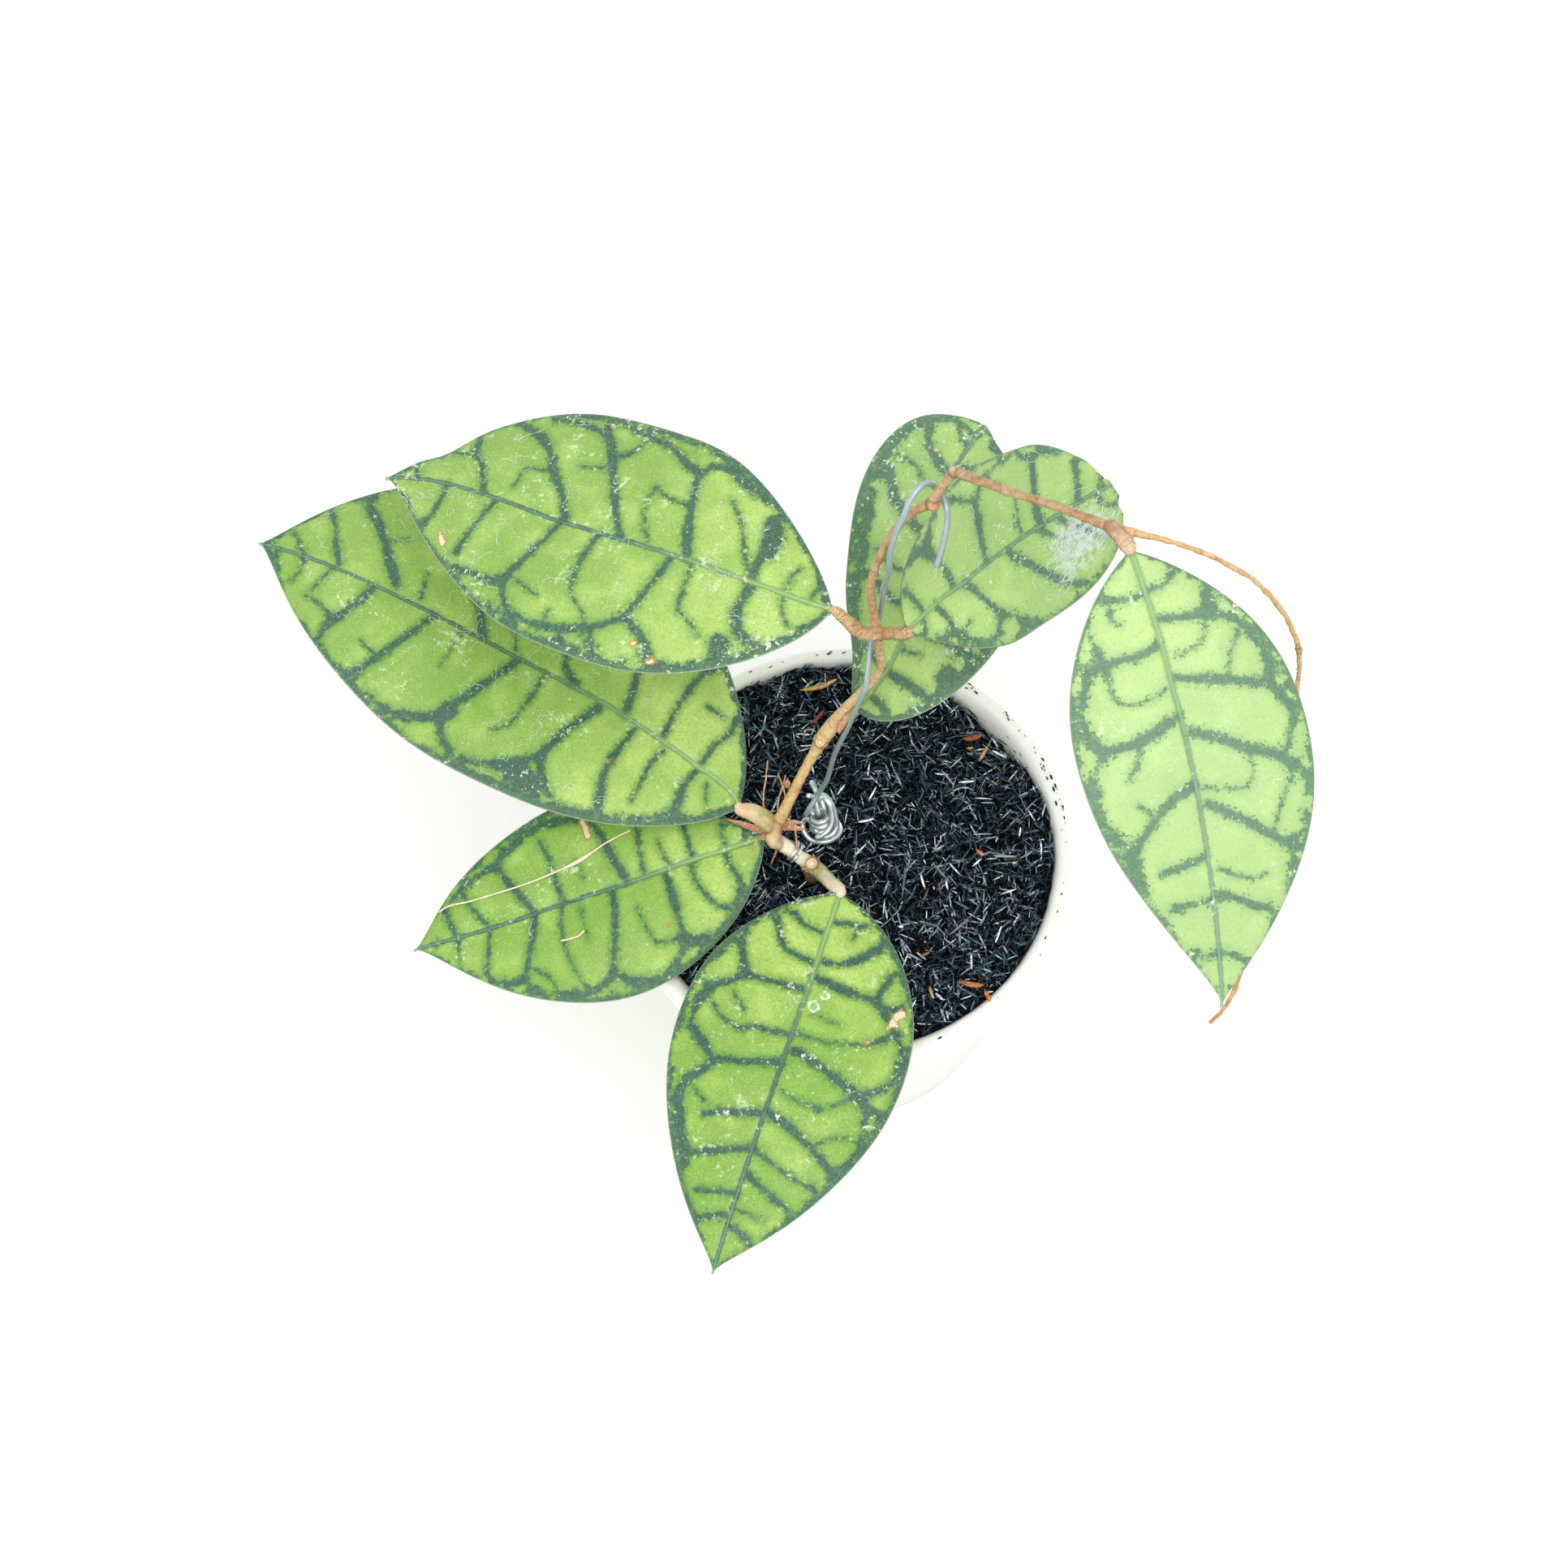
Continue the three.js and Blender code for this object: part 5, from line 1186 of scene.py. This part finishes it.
def line_field(leaf, lines, t, s, soft, heavy=1):
    """How far outside drawn lines each point of a blade is, in millimetres, with rounded meetings."""
    scale = (blade_length(leaf), HALF_BLADE)
    x, y = t * scale[0], s * leaf_outline(leaf, t, s > 0)
    total = np.full(len(t), math.exp(-LONGEST_FIELD / soft))
    for width, *flat in lines:
        route = smooth_route(np.reshape(flat, (-1, 2)) / 100 * scale, 10)
        along, across = (route / scale).T
        line = np.column_stack([route[:, 0], across * leaf_outline(leaf, along.clip(0, 1), across > 0)])
        taper = 1 - (0.5 if width < FINE_VEIN else 0.15) * np.linspace(0, 1, len(line))
        flare = 1 + 0.5 * np.clip(2 * np.abs(across) - 1, 0, 1)
        swell = 1 + VEIN_SWELL * grain_on(line, VEIN_SWELL_SIZE, 1)
        low, high = line.min(0) - LONGEST_FIELD, line.max(0) + LONGEST_FIELD
        close = np.flatnonzero((x > low[0]) & (x < high[0]) & (y > low[1]) & (y < high[1]))
        away = np.hypot(x[close, None] - line[:, 0], y[close, None] - line[:, 1])
        away -= heavy * width / 2 * taper * flare * swell
        total[close] += np.exp(-away.min(axis=1) / soft)
    return -soft * np.log(total)


def leaf_mesh(leaf, grid):
    """A blade as one closed skin, and what its material needs to know at each point."""
    length = blade_length(leaf)
    stations, columns = int(length / grid), int(sum(leaf["half"]) / grid)
    even = np.linspace(0, 1, stations)
    t = (1 - np.cos(np.pi * even)) / 2 * END_CROWD + even * (1 - END_CROWD)
    s = np.linspace(-1, 1, columns + 1)
    ring = np.concatenate([s, s[-2:0:-1]])
    t, s = np.repeat(t * leaf["end"], len(ring)), np.tile(ring, stations)
    under = np.tile(np.repeat((0, 1), (columns + 1, columns - 1)), stations)
    if leaf["end"] < 1:
        torn = TORN_RAGGED * (grain_on(9 * s, 1, 2) + 0.4 * grain_on(30 * s, 1, 3)) + TORN_ROUND * s * s
        t = t * (1 - torn * (t / leaf["end"]) ** TORN_FADE)
    points, normal = leaf_surface(leaf, t, s)
    half = leaf_outline(leaf, t, s > 0)
    spine = np.interp(t, np.linspace(0, 1, len(leaf["spine"])), leaf["spine"]) / 100
    off_rib = np.abs(s - spine) * half
    edge = np.minimum((1 - np.abs(s)) * half, (1 - t) * length * 0.5)
    band = leaf["margin"] * (0.3 + 0.6 * (1 - t) + lumps(points, MARGIN_LUMPS))
    vein = line_field(leaf, leaf["veins"], t, s, VEIN_SOFT, leaf["net"])
    vein = -VEIN_SOFT * np.log(np.exp(-vein / VEIN_SOFT) + np.exp((band - edge) / VEIN_SOFT))
    drop = np.full(len(t), LONGEST_FIELD)
    for at, side, radius in leaf["drops"]:
        drop = np.minimum(drop, np.abs(np.hypot((t - at) * length, (s - side) * half) - radius))
    haze = 0
    if "haze" in leaf:
        at, side, span, reach = leaf["haze"]
        haze = np.exp(-(((t - at) / span) ** 4) - ((s - side) / reach) ** 4) * (1 - under)
    thick = (BLADE + (BLADE_EDGE - BLADE) * s * s) * np.sqrt(np.maximum(1 - np.abs(s) ** 24, 0))
    groove = GROOVE * (1 - 0.6 * t) * np.exp(-((off_rib / GROOVE_HALF) ** 2))
    dip = VEIN_DIP * np.exp(-np.maximum(vein, 0) / VEIN_DIP_REACH) * np.clip(edge / 2, 0, 1)
    keel = KEEL * (1 - t) * np.exp(-((off_rib / KEEL_HALF) ** 2))
    top = np.where(np.abs(s) < 1, thick / 2 - groove - dip, 0)
    lift = np.where(under > 0, -thick / 2 - keel, top)
    values = {
        "vein": vein, "rib": off_rib / (1 - 0.35 * t), "edge": edge, "along": t,
        "scar": line_field(leaf, leaf["scars"], t, s, SCAR_SOFT), "drop": drop, "haze": haze,
        "under": under, "pale": leaf["pale"], "age": leaf["age"],
    }
    return (points + normal * lift[:, None], ring_faces(stations, len(ring)), 0), values


def on_blade(leaf, route, lift, per_span=6):
    """A route drawn in shares along and across a blade, laid on its upper face."""
    drawn = smooth_route([(*p, 0) for p in route], per_span)
    points, normal = leaf_surface(leaf, drawn[:, 0], drawn[:, 1])
    return points + normal * (BLADE / 2 + lift)


def within(places, limits):
    return [min(max(at, low), high) for at, (low, high) in zip(places, limits)]


# ---------------------------------------------------------------- shapes: vine
def vine_routes():
    """Every route of the woody vine with the colours of its ends and its wrinkles: stems, then stalks."""
    slim = bpy.context.scene.hoya_vine.slim
    routes = [([(*p[:3], p[3] * slim) for p in route], *rest) for route, *rest in BARK.values()]
    for name, (route, first, last, wrinkled, end_radius) in STALKS.items():
        ends, _ = leaf_surface(LEAVES[name], np.array((0, 0.02)), np.zeros(2))
        ahead = unit(ends[1] - ends[0])
        before = (*(ends[0] - 0.9 * ahead), end_radius + 0.1)
        inside = (*(ends[0] + 0.6 * ahead), end_radius - 0.5)
        routes.append(([*route, before, inside], first, last, wrinkled))
    return routes


def fused_vine(look):
    """The stems, stalks and joints fused to one skin by voxels, then roughened."""
    parts = [tube(route, 14, 5, 0.4) for route, *_ in vine_routes()]
    for x, y, z, radius, _ in JOINTS:
        bulge = [(x, y, z + radius * up, radius * wide) for up, wide in ((-0.6, 0.75), (0, 1), (0.6, 0.75))]
        parts.append(tube(bulge, 14, 4, 0.8))
    bark = new_material("vine_bark_dry", young_bark, look)
    vine = build("vine_stems", parts, bark)
    remesh = vine.modifiers.new("fuse", "REMESH")
    remesh.mode = "VOXEL"
    remesh.voxel_size = look.voxel
    smooth = vine.modifiers.new("soften", "SMOOTH")
    smooth.factor = 0.5
    smooth.iterations = 3
    apply_modifiers(vine)
    colour_vine(vine.data, look)
    vine.data.materials.clear()
    vine.data.materials.append(bark)
    vine.data.shade_smooth()
    return vine


def colour_vine(mesh, look):
    """Colours each point of the fused vine by the routes it lies on, and sinks a crease where two meet."""
    count = len(mesh.vertices)
    place, normal = np.empty(count * 3), np.empty(count * 3)
    mesh.vertices.foreach_get("co", place)
    mesh.vertices.foreach_get("normal", normal)
    place, normal = place.reshape(-1, 3) / MM, normal.reshape(-1, 3)
    fields = []
    for route, first, last, wrinkled in vine_routes():
        curve = smooth_route(route, 8)
        far = np.append(0, np.cumsum(np.linalg.norm(np.diff(curve[:, :3], axis=0), axis=1)))
        away = np.linalg.norm(place[:, None] - curve[:, :3], axis=2) - curve[:, 3]
        nearest = away.argmin(axis=1)
        share = (far[nearest] / far[-1])[:, None]
        tone = np.array(linear(first)) * (1 - share) + np.array(linear(last)) * share
        fields.append((away.min(axis=1), tone, far[nearest], wrinkled))
    for *centre, radius, code in JOINTS:
        away = np.linalg.norm(place - centre, axis=1) - radius * 0.95
        fields.append((away, np.tile(linear(code), (count, 1)), np.zeros(count), 0.6))
    reach, tones, along, wrinkles = (np.array(field) for field in zip(*fields))
    weight = np.exp(-reach / BARK_BLEND)
    weight /= weight.sum(axis=0)
    tint = np.einsum("rv,rvc->vc", weight, tones)
    for centre, far, strength, code in STAINS:
        share = strength * np.exp(-((np.linalg.norm(place - centre, axis=1) / far) ** 4))[:, None]
        tint += share * (linear(code) - tint)
    # The seam marks the crease where two routes meet, which the bump sinks and the bark paints darker as
    # painted crease shade.
    closest, second = np.sort(reach, axis=0)[:2]
    seam = np.exp(-(((second - closest) / SEAM_HALF) ** 2))
    keep(mesh, "tint", tint)
    keep(mesh, "along", along[reach.argmin(axis=0), range(count)])
    keep(mesh, "seam", seam)
    keep(mesh, "wrinkle", wrinkles @ weight)
    # How far each point faces sideways or down, which the bark paints darker as painted shade.
    keep(mesh, "under", ((0.3 - normal[:, 2]) / 0.7).clip(0, 1))
    bump = look.knots / MM * (lumps(place, BARK_LUMPS) - 0.9 * seam)
    mesh.vertices.foreach_set("co", ((place + normal * bump[:, None]) * MM).ravel())


def cut_scar(centre, way, radius):
    """A round scar with a torn rim and rings of growth, as a part."""
    way, start = unit(way), np.array(centre, float)
    route = [(*(start + way * high), radius * wide) for high, wide in SCAR_PROFILE]
    points, faces, _ = tube(route, 20, 1, 0.25)
    off = points - start
    out = np.linalg.norm(off - np.outer(off @ way, way), axis=1) / radius
    light = ((out < 1) & (np.sin(out * 19) > -0.3))[:, None]
    tone = np.where(light, linear("#E2C6A8"), linear("#96693C"))
    return points + 0.1 * grain(points, 0.5, 2)[:, None], faces, tone


def torn_collar(centre, way, radius):
    """Flakes of torn bark that stand out round a joint, as a part."""
    way = unit(way)
    side = unit(np.cross(way, (0, 0, 1)))
    other = np.cross(way, side)
    parts = []
    for k in range(FLAKES):
        angle = 2 * math.pi * (k + 0.3 * math.sin(5 * k)) / FLAKES
        out = side * math.cos(angle) + other * math.sin(angle)
        root = np.array(centre, float) + out * (radius - 0.5) + way * 0.5 * math.sin(2.1 * k)
        tip = root + out * (0.75 + 0.35 * math.sin(2.3 * k)) + way * 1.1 * math.sin(1.7 * k)
        parts.append(tube([(*root, 0.6), (*((root + tip) / 2), 0.5), (*tip, 0.2)], 6, 2))
    points, faces, _ = joined(parts)
    tone = np.where(grain(points, 0.8, 3)[:, None] > 0, linear("#C9964C"), linear("#7A4E22"))
    return points + 0.15 * grain(points, 0.5, 4)[:, None], faces, tone


def air_root(route, seed):
    """A wavering root of uneven thickness, as a part."""
    fine = smooth_route(with_radius(route, ROOTLET_RADIUS), 6)
    fine[:, :3] += 0.25 * np.column_stack([grain(fine[:, :3], 1.6, 10 * seed + axis) for axis in range(3)])
    fine[:, 3] *= 0.66 + 0.25 * grain(fine[:, :3], 0.9, seed)
    fine[-1, 3] *= 0.5
    return tube(fine, 8, 1)


def sheath(start, end, half):
    """A dried bud scale: a thin pointed blade, hollowed along its length and a little bent, as a part."""
    start, end = np.array(start, float), np.array(end, float)
    ahead = unit(end - start)
    side = unit(np.cross((0, 0, 1), ahead))
    up = np.cross(ahead, side)
    arch = np.linspace(-1, 1, SHEATH_COLUMNS)
    rings = []
    for u in np.linspace(0, 1, SHEATH_RINGS):
        wide = half * (0.35 + 1.3 * math.sin(math.pi * min(u * 0.85 + 0.1, 1))) * (1 - u**6) + 0.06
        middle = start + (end - start) * u + up * SHEATH_BOW * math.sin(math.pi * u)
        top = [middle + side * wide * a + up * wide * a * a / 2 for a in arch]
        rings.append(top + [p - up * SHEATH_THICK for p in top[::-1]])
    points = np.array(rings).reshape(-1, 3)
    points += 0.14 * grain(points, 0.9, 6)[:, None] * up
    return points, ring_faces(SHEATH_RINGS, 2 * SHEATH_COLUMNS), 0


# ---------------------------------------------------------------- shapes: wires
def with_radius(route, radius):
    return [(*p[:3], radius) for p in route]


def coil_route():
    """The knot's core: level turns that narrow upwards."""
    foot, top = np.array(KNOT_FOOT, float), np.array(KNOT_TOP, float)
    axis = unit(top - foot)
    side = unit(np.array((1, 0, 0)) - axis * axis[0])
    other = np.cross(axis, side)
    route = []
    for share in np.linspace(0, 1, round(COIL_TURNS * COIL_STEPS) + 1):
        angle = 2 * math.pi * COIL_TURNS * share
        radius = KNOT_RADII[0] + (KNOT_RADII[1] - KNOT_RADII[0]) * share
        off = side * math.cos(angle) + other * math.sin(angle)
        route.append(foot + (top - foot) * share + radius * off)
    return route


def tie_route():
    """Two turns round the knee."""
    axis = unit(TIE_ALONG)
    side = unit(np.cross(axis, (0, 0, 1)))
    other = np.cross(axis, side)
    route = []
    for k in range(-TIE_STEPS, TIE_STEPS + 1):
        angle = 2 * math.pi * k / TIE_STEPS
        off = side * math.cos(angle) + other * math.sin(angle)
        route.append(TIE_AT + TIE_LOOP * off + axis * TIE_PITCH * k)
    return route


# ---------------------------------------------------------------- operators
class HOYA_OT_pot(bpy.types.Operator):
    """Turns the pot's profile and cuts its drain holes"""
    bl_idname = "hoya.pot"
    bl_label = "Pot"

    def execute(self, context):
        look = context.scene.hoya_pot
        profile = pot_profile(look.wall / MM)
        rings = circle(2 * np.pi * np.arange(look.sides) / look.sides, profile[:, :1])
        heights = np.broadcast_to(profile[:, 1:2], rings.shape[:2])
        turning = np.dstack([rings, heights]).reshape(-1, 3), ring_faces(len(profile), look.sides), 0
        plastic = new_material("polypropylene_moulded", polypropylene, look)
        dusty = np.repeat(profile[:, 2], look.sides)
        pot = build("pot_shell", [turning], plastic, {"dusty": dusty})
        places = circle(2 * np.pi * (np.arange(DRAIN_HOLES) + 0.5) / DRAIN_HOLES, DRAIN_CIRCLE)
        drills = [tube([(x, y, z, DRAIN_RADIUS) for z in DRILL_ENDS], DRILL_SIDES, 1, 0) for x, y in places]
        drill = build("drain_drill", drills, plastic)
        cut = pot.modifiers.new("drain", "BOOLEAN")
        cut.operation = "DIFFERENCE"
        cut.solver = "EXACT"
        cut.object = drill
        apply_modifiers(pot)
        bpy.data.objects.remove(drill)
        pot.data.set_sharp_from_angle(angle=SHARP)
        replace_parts(pot, "pot")
        return {"FINISHED"}


class HOYA_OT_husk(bpy.types.Operator):
    """Fills the pot and strews charred husks, crumbs and a few uncharred pieces"""
    bl_idname = "hoya.husk"
    bl_label = "Charred husk"

    def execute(self, context):
        look = context.scene.hoya_husk
        random = np.random.RandomState(look.seed)
        fines = new_material("rice_husk_char_fines", charred_husk, *FINES_FINISH)
        husk_skin = new_material("rice_husk_carbonised", charred_husk, *HUSK_FINISH)
        pieces = [build("husk_bed", [fill_bed()], fines)]
        # How many, between which shares of full size, and between which lifts off the fill.
        layers = {
            "husks_sunk": (look.husks // 2, (0.5, 0.9), (-0.4, 0.9)),
            "husk_crumbs": (look.crumbs, (0.16, 0.42), (0.2, 1.6)),
            "husk_chips": (look.crumbs, (0.1, 0.34), (0.9, 2.1)),
            "husks_loose": (look.husks // 2, (0.55, 1.0), (0.6, 2.0)),
        }
        for name, layer in layers.items():
            pieces.append(build(name, [husk_pieces(look, random, *layer)], husk_skin))
        for piece in pieces:
            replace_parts(piece, "substrate")
        build("husks_uncharred", self.litter(), husk_skin)
        build("rim_crumbs", [self.rim_crumbs(look, random)], husk_skin)
        return {"FINISHED"}

    def litter(self):
        """The husks that stand out by their colour, as parts."""
        pattern, faces = husk_pattern()
        parts = []
        for x, y, heading, length, width, tone in LITTER:
            pitch, roll = np.array([0.1]), np.array([LITTER_ROLL])
            stretch = np.array([[length, width, 0.5 * width]])
            body = turned(pattern, np.radians([heading]), pitch, roll, stretch)[0]
            body += (x, y, fill_level(np.array([x]), np.array([y]))[0] + LITTER_LIFT)
            parts.append((body, faces, linear(tone)))
        return parts

    def rim_crumbs(self, look, random):
        """Crumbs that cling to the lip and to the bare wall above the hollow, as a part."""
        pattern, faces = husk_pattern()
        count, (down, further) = RIM_CRUMBS, BARE_WALL
        angle = np.where(random.random(count) < 0.5, 2 * np.pi * random.random(count),
                         np.radians(HOLLOW_BEARING) + CRUMB_SPREAD * random.standard_normal(count))
        on_lip = random.random(count) < 0.5
        height = POT_HEIGHT - down - further * random.random(count) ** 1.5
        lip = LIP_INNER_RADIUS + 0.2 + RIM_BELT * random.random(count)
        z = np.where(on_lip, POT_HEIGHT + CRUMB_LIFT, height)
        size = CRUMB_LEAST + CRUMB_MORE * random.random(count) ** 2
        stretch = np.column_stack([size, 0.35 * size, 0.25 * size])
        flat = np.where(on_lip, 0, np.pi / 2)
        bodies = turned(pattern, angle + np.pi / 2, 0.3 * random.standard_normal(count), flat, stretch)
        places = circle(angle, np.where(on_lip, lip, bore_radius(height) - 0.1))
        bodies += np.column_stack([places, z])[:, None]
        clear = on_lip | (z > fill_level(*places.T) + 1)
        return copies(bodies[clear], faces, look.char[:])


class HOYA_OT_leaves(bpy.types.Operator):
    """Grows the seven blades with their net of veins"""
    bl_idname = "hoya.leaves"
    bl_label = "Leaves"

    def execute(self, context):
        look = context.scene.hoya_leaf
        skin = new_material("hoya_leaf_waxy", hoya_blade, look)
        for name, leaf in LEAVES.items():
            part, values = leaf_mesh(leaf, look.grid / MM)
            blade = build(name.replace("leaf", "blade"), [part], skin, values)
            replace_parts(blade, name)
        return {"FINISHED"}


class HOYA_OT_vine(bpy.types.Operator):
    """Fuses the stems and stalks, and adds scars, air roots and dried sheaths"""
    bl_idname = "hoya.vine"
    bl_label = "Vine"

    def execute(self, context):
        look = context.scene.hoya_vine
        vine = fused_vine(look)
        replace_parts(vine, "vine")
        scars = [*(cut_scar(*scar) for scar in CUT_SCARS), torn_collar(*TORN_BARK)]
        build("cut_scars", scars, vine.data.materials[0], {"along": 0})
        papery = new_material("bud_scale_dried", dry_skin, look.root, "#DDB494", 0.8)
        roots = [air_root(route, k) for k, route in enumerate(ROOTLETS)]
        for name, parts in (("air_roots", roots), ("dried_sheaths", [sheath(*scale) for scale in SHEATHS])):
            piece = build(name, parts, papery)
            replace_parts(piece, "vine")
        return {"FINISHED"}


class HOYA_OT_wires(bpy.types.Operator):
    """Bends the support wire, its wound knot and the tie round the stem"""
    bl_idname = "hoya.wires"
    bl_label = "Wires"

    def execute(self, context):
        look = context.scene.hoya_wire
        zinc = new_material("steel_galvanised_bright", galvanised_steel, look.zinc, BRIGHT)
        dull = new_material("steel_galvanised_dull", galvanised_steel, look.dull, DULL)
        coil = coil_route()
        leg = [*WIRE_LEG[::-1], *coil[:2]]
        for name, finish, radius, routes in (
            ("support_wire", dull, WIRE_RADIUS, (leg, WIRE_ROUTE)),
            ("wire_knot", zinc, KNOT_WIRE_RADIUS, (coil, *KNOT_WIRES)),
        ):
            parts = [tube(with_radius(route, radius), look.sides, 5) for route in routes]
            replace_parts(build(name, parts, finish), "wire_support")
        tie = build("tie_wire", [tube(with_radius(tie_route(), TIE_RADIUS), 10, 3)], zinc)
        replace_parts(tie, "wire_tie")
        return {"FINISHED"}


class HOYA_OT_litter(bpy.types.Operator):
    """Lays the dry fibres and the silk on the leaves"""
    bl_idname = "hoya.litter"
    bl_label = "Fibres and silk"

    def execute(self, context):
        look = context.scene.hoya_litter
        straw = new_material("straw_dried", dry_skin, look.straw, "#E2C8A4", 1.5)
        leaf = LEAVES["leaf_left_rim"]
        for name, drawn in (("fibre_long", FIBRE_ROUTE), ("fibre_short", SMALL_FIBRE_ROUTE)):
            route = on_blade(leaf, drawn, 0.5)
            off = (np.linspace(0, 1, len(route)) - SWELL_AT) / SWELL_HALF
            swell = 1 + SWELL * np.exp(-(off**2)) * (name == "fibre_long")
            rod = tube(np.column_stack([route, swell * look.fibre / MM / 2]), 8, 3)
            fibre = build(name, [rod], straw)
            if name == "fibre_long":
                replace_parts(fibre, "dry_fibre")
        silk = new_material("spider_silk_spun", dry_skin, look.web, "#C9DAD7", 1)
        radius = look.silk / MM / 2
        random = np.random.RandomState(SILK_SEED)
        for name, (count, along, across) in SILK.items():
            parts = [self.thread(LEAVES[name], random, along, across, radius) for _ in range(count)]
            build(name.replace("leaf", "threads"), parts, silk)
        leaf = LEAVES["leaf_right_upper"]
        web = [self.web_strand(leaf, random, radius) for _ in range(WEB_STRANDS)]
        build("cobweb", web, silk)
        return {"FINISHED"}

    def thread(self, leaf, random, along, across, radius):
        """One short curly thread of silk, lying on a blade."""
        t = along[0] + (along[1] - along[0]) * random.random()
        s = across * (2 * random.random() - 1)
        heading = 2 * np.pi * random.random()
        route = []
        for _ in range(THREAD_POINTS[0] + random.randint(THREAD_POINTS[1])):
            route.append((t, s))
            heading += THREAD_TURN * random.standard_normal()
            step = THREAD_STEP[0] + THREAD_STEP[1] * random.random()
            t += step * math.cos(heading) / blade_length(leaf)
            s += step * math.sin(heading) / HALF_BLADE
            t, s = within((t, s), THREAD_WITHIN)
        return tube(with_radius(on_blade(leaf, route, THREAD_LIFT, 3), radius), 5, 1)

    def web_strand(self, leaf, random, radius):
        """One curly strand of the cobweb that lies over the damaged tip."""
        t, s = (at + spread * random.standard_normal() for at, spread in zip(WEB_AT, WEB_SPREAD))
        heading = 2 * np.pi * random.random()
        curl = WEB_CURL * random.standard_normal()
        route = []
        for _ in range(WEB_POINTS):
            route.append(within((t, s), WEB_WITHIN))
            heading += curl + WEB_TURN * random.standard_normal()
            t += WEB_STEP * math.cos(heading) / blade_length(leaf)
            s += WEB_STEP * math.sin(heading) / WEB_ACROSS
        points = on_blade(leaf, route, WEB_LIFT[0] + WEB_LIFT[1] * random.random(), 3)
        points += WEB_FUZZ * grain(points, WEB_FUZZ_SIZE, random.randint(99))[:, None]
        return tube(with_radius(points, radius), 4, 1)


class HOYA_OT_stage(bpy.types.Operator):
    """Sets the floor, the soft lights and the camera"""
    bl_idname = "hoya.stage"
    bl_label = "Stage"

    def execute(self, context):
        look = context.scene.hoya_stage
        scene = context.scene
        mesh = bpy.data.meshes.new("floor")
        corners = [(x * FLOOR_REACH, y * FLOOR_REACH, 0) for x, y in ((-1, -1), (1, -1), (1, 1), (-1, 1))]
        mesh.from_pydata(corners, [], [(0, 1, 2, 3)])
        mesh.materials.append(new_material("paper_seamless", seamless_paper, look))
        floor = bpy.data.objects.new("floor", mesh)
        scene.collection.objects.link(floor)
        camera = bpy.data.objects.new("camera", bpy.data.cameras.new("camera"))
        camera.data.lens = look.lens
        camera.data.sensor_width = SENSOR
        lean = Matrix.Rotation(math.pi / 2 - look.tilt, 4, "X") @ Matrix.Rotation(look.roll, 4, "Z")
        camera.matrix_world = Matrix.Translation(look.camera_at) @ lean
        scene.collection.objects.link(camera)
        scene.camera = camera
        for name, place, size, watts in SOFTBOXES:
            lamp = bpy.data.objects.new(name, bpy.data.lights.new(name, "AREA"))
            lamp.data.shape = "SQUARE"
            lamp.data.size = size
            lamp.data.energy = watts
            lamp.location = place
            lamp.rotation_euler = (Vector(AIM) - Vector(place)).to_track_quat("-Z", "Y").to_euler()
            scene.collection.objects.link(lamp)
        scene.world = bpy.data.worlds.new("studio")
        scene.world.use_nodes = True
        sky = scene.world.node_tree.nodes["Background"].inputs
        sky["Color"].default_value = opaque(linear("#FFFFFF"))
        sky["Strength"].default_value = STUDIO_WHITE
        scene.view_settings.view_transform = "Standard"
        return {"FINISHED"}


class HOYA_PT_panel(bpy.types.Panel):
    """Lists the plant's pieces and their settings"""
    bl_idname = "HOYA_PT_panel"
    bl_label = "Potted Hoya"
    bl_space_type = "VIEW_3D"
    bl_region_type = "UI"
    bl_category = "Hoya"

    def draw(self, context):
        for group, (_, operator) in PIECES.items():
            box = self.layout.box()
            settings = getattr(context.scene, group)
            for key in settings.bl_rna.properties.keys():
                if key not in ("rna_type", "name"):
                    box.prop(settings, key)
            box.operator(operator.bl_idname)


PIECES = {
    "hoya_stage": (HoyaStage, HOYA_OT_stage),
    "hoya_pot": (HoyaPot, HOYA_OT_pot),
    "hoya_husk": (HoyaHusk, HOYA_OT_husk),
    "hoya_vine": (HoyaVine, HOYA_OT_vine),
    "hoya_leaf": (HoyaLeaf, HOYA_OT_leaves),
    "hoya_wire": (HoyaWire, HOYA_OT_wires),
    "hoya_litter": (HoyaLitter, HOYA_OT_litter),
}
CLASSES = [*(kind for pair in PIECES.values() for kind in pair), HOYA_PT_panel]


def register():
    for kind in CLASSES:
        bpy.utils.register_class(kind)
    for name, (group, _) in PIECES.items():
        setattr(bpy.types.Scene, name, PointerProperty(type=group))


def unregister():
    for name in PIECES:
        delattr(bpy.types.Scene, name)
    for kind in reversed(CLASSES):
        bpy.utils.unregister_class(kind)


def main():
    register()
    bpy.ops.hoya.stage()
    bpy.ops.hoya.pot()
    bpy.ops.hoya.husk()
    bpy.ops.hoya.vine()
    bpy.ops.hoya.leaves()
    bpy.ops.hoya.wires()
    bpy.ops.hoya.litter()


if __name__ == "__main__":
    main()
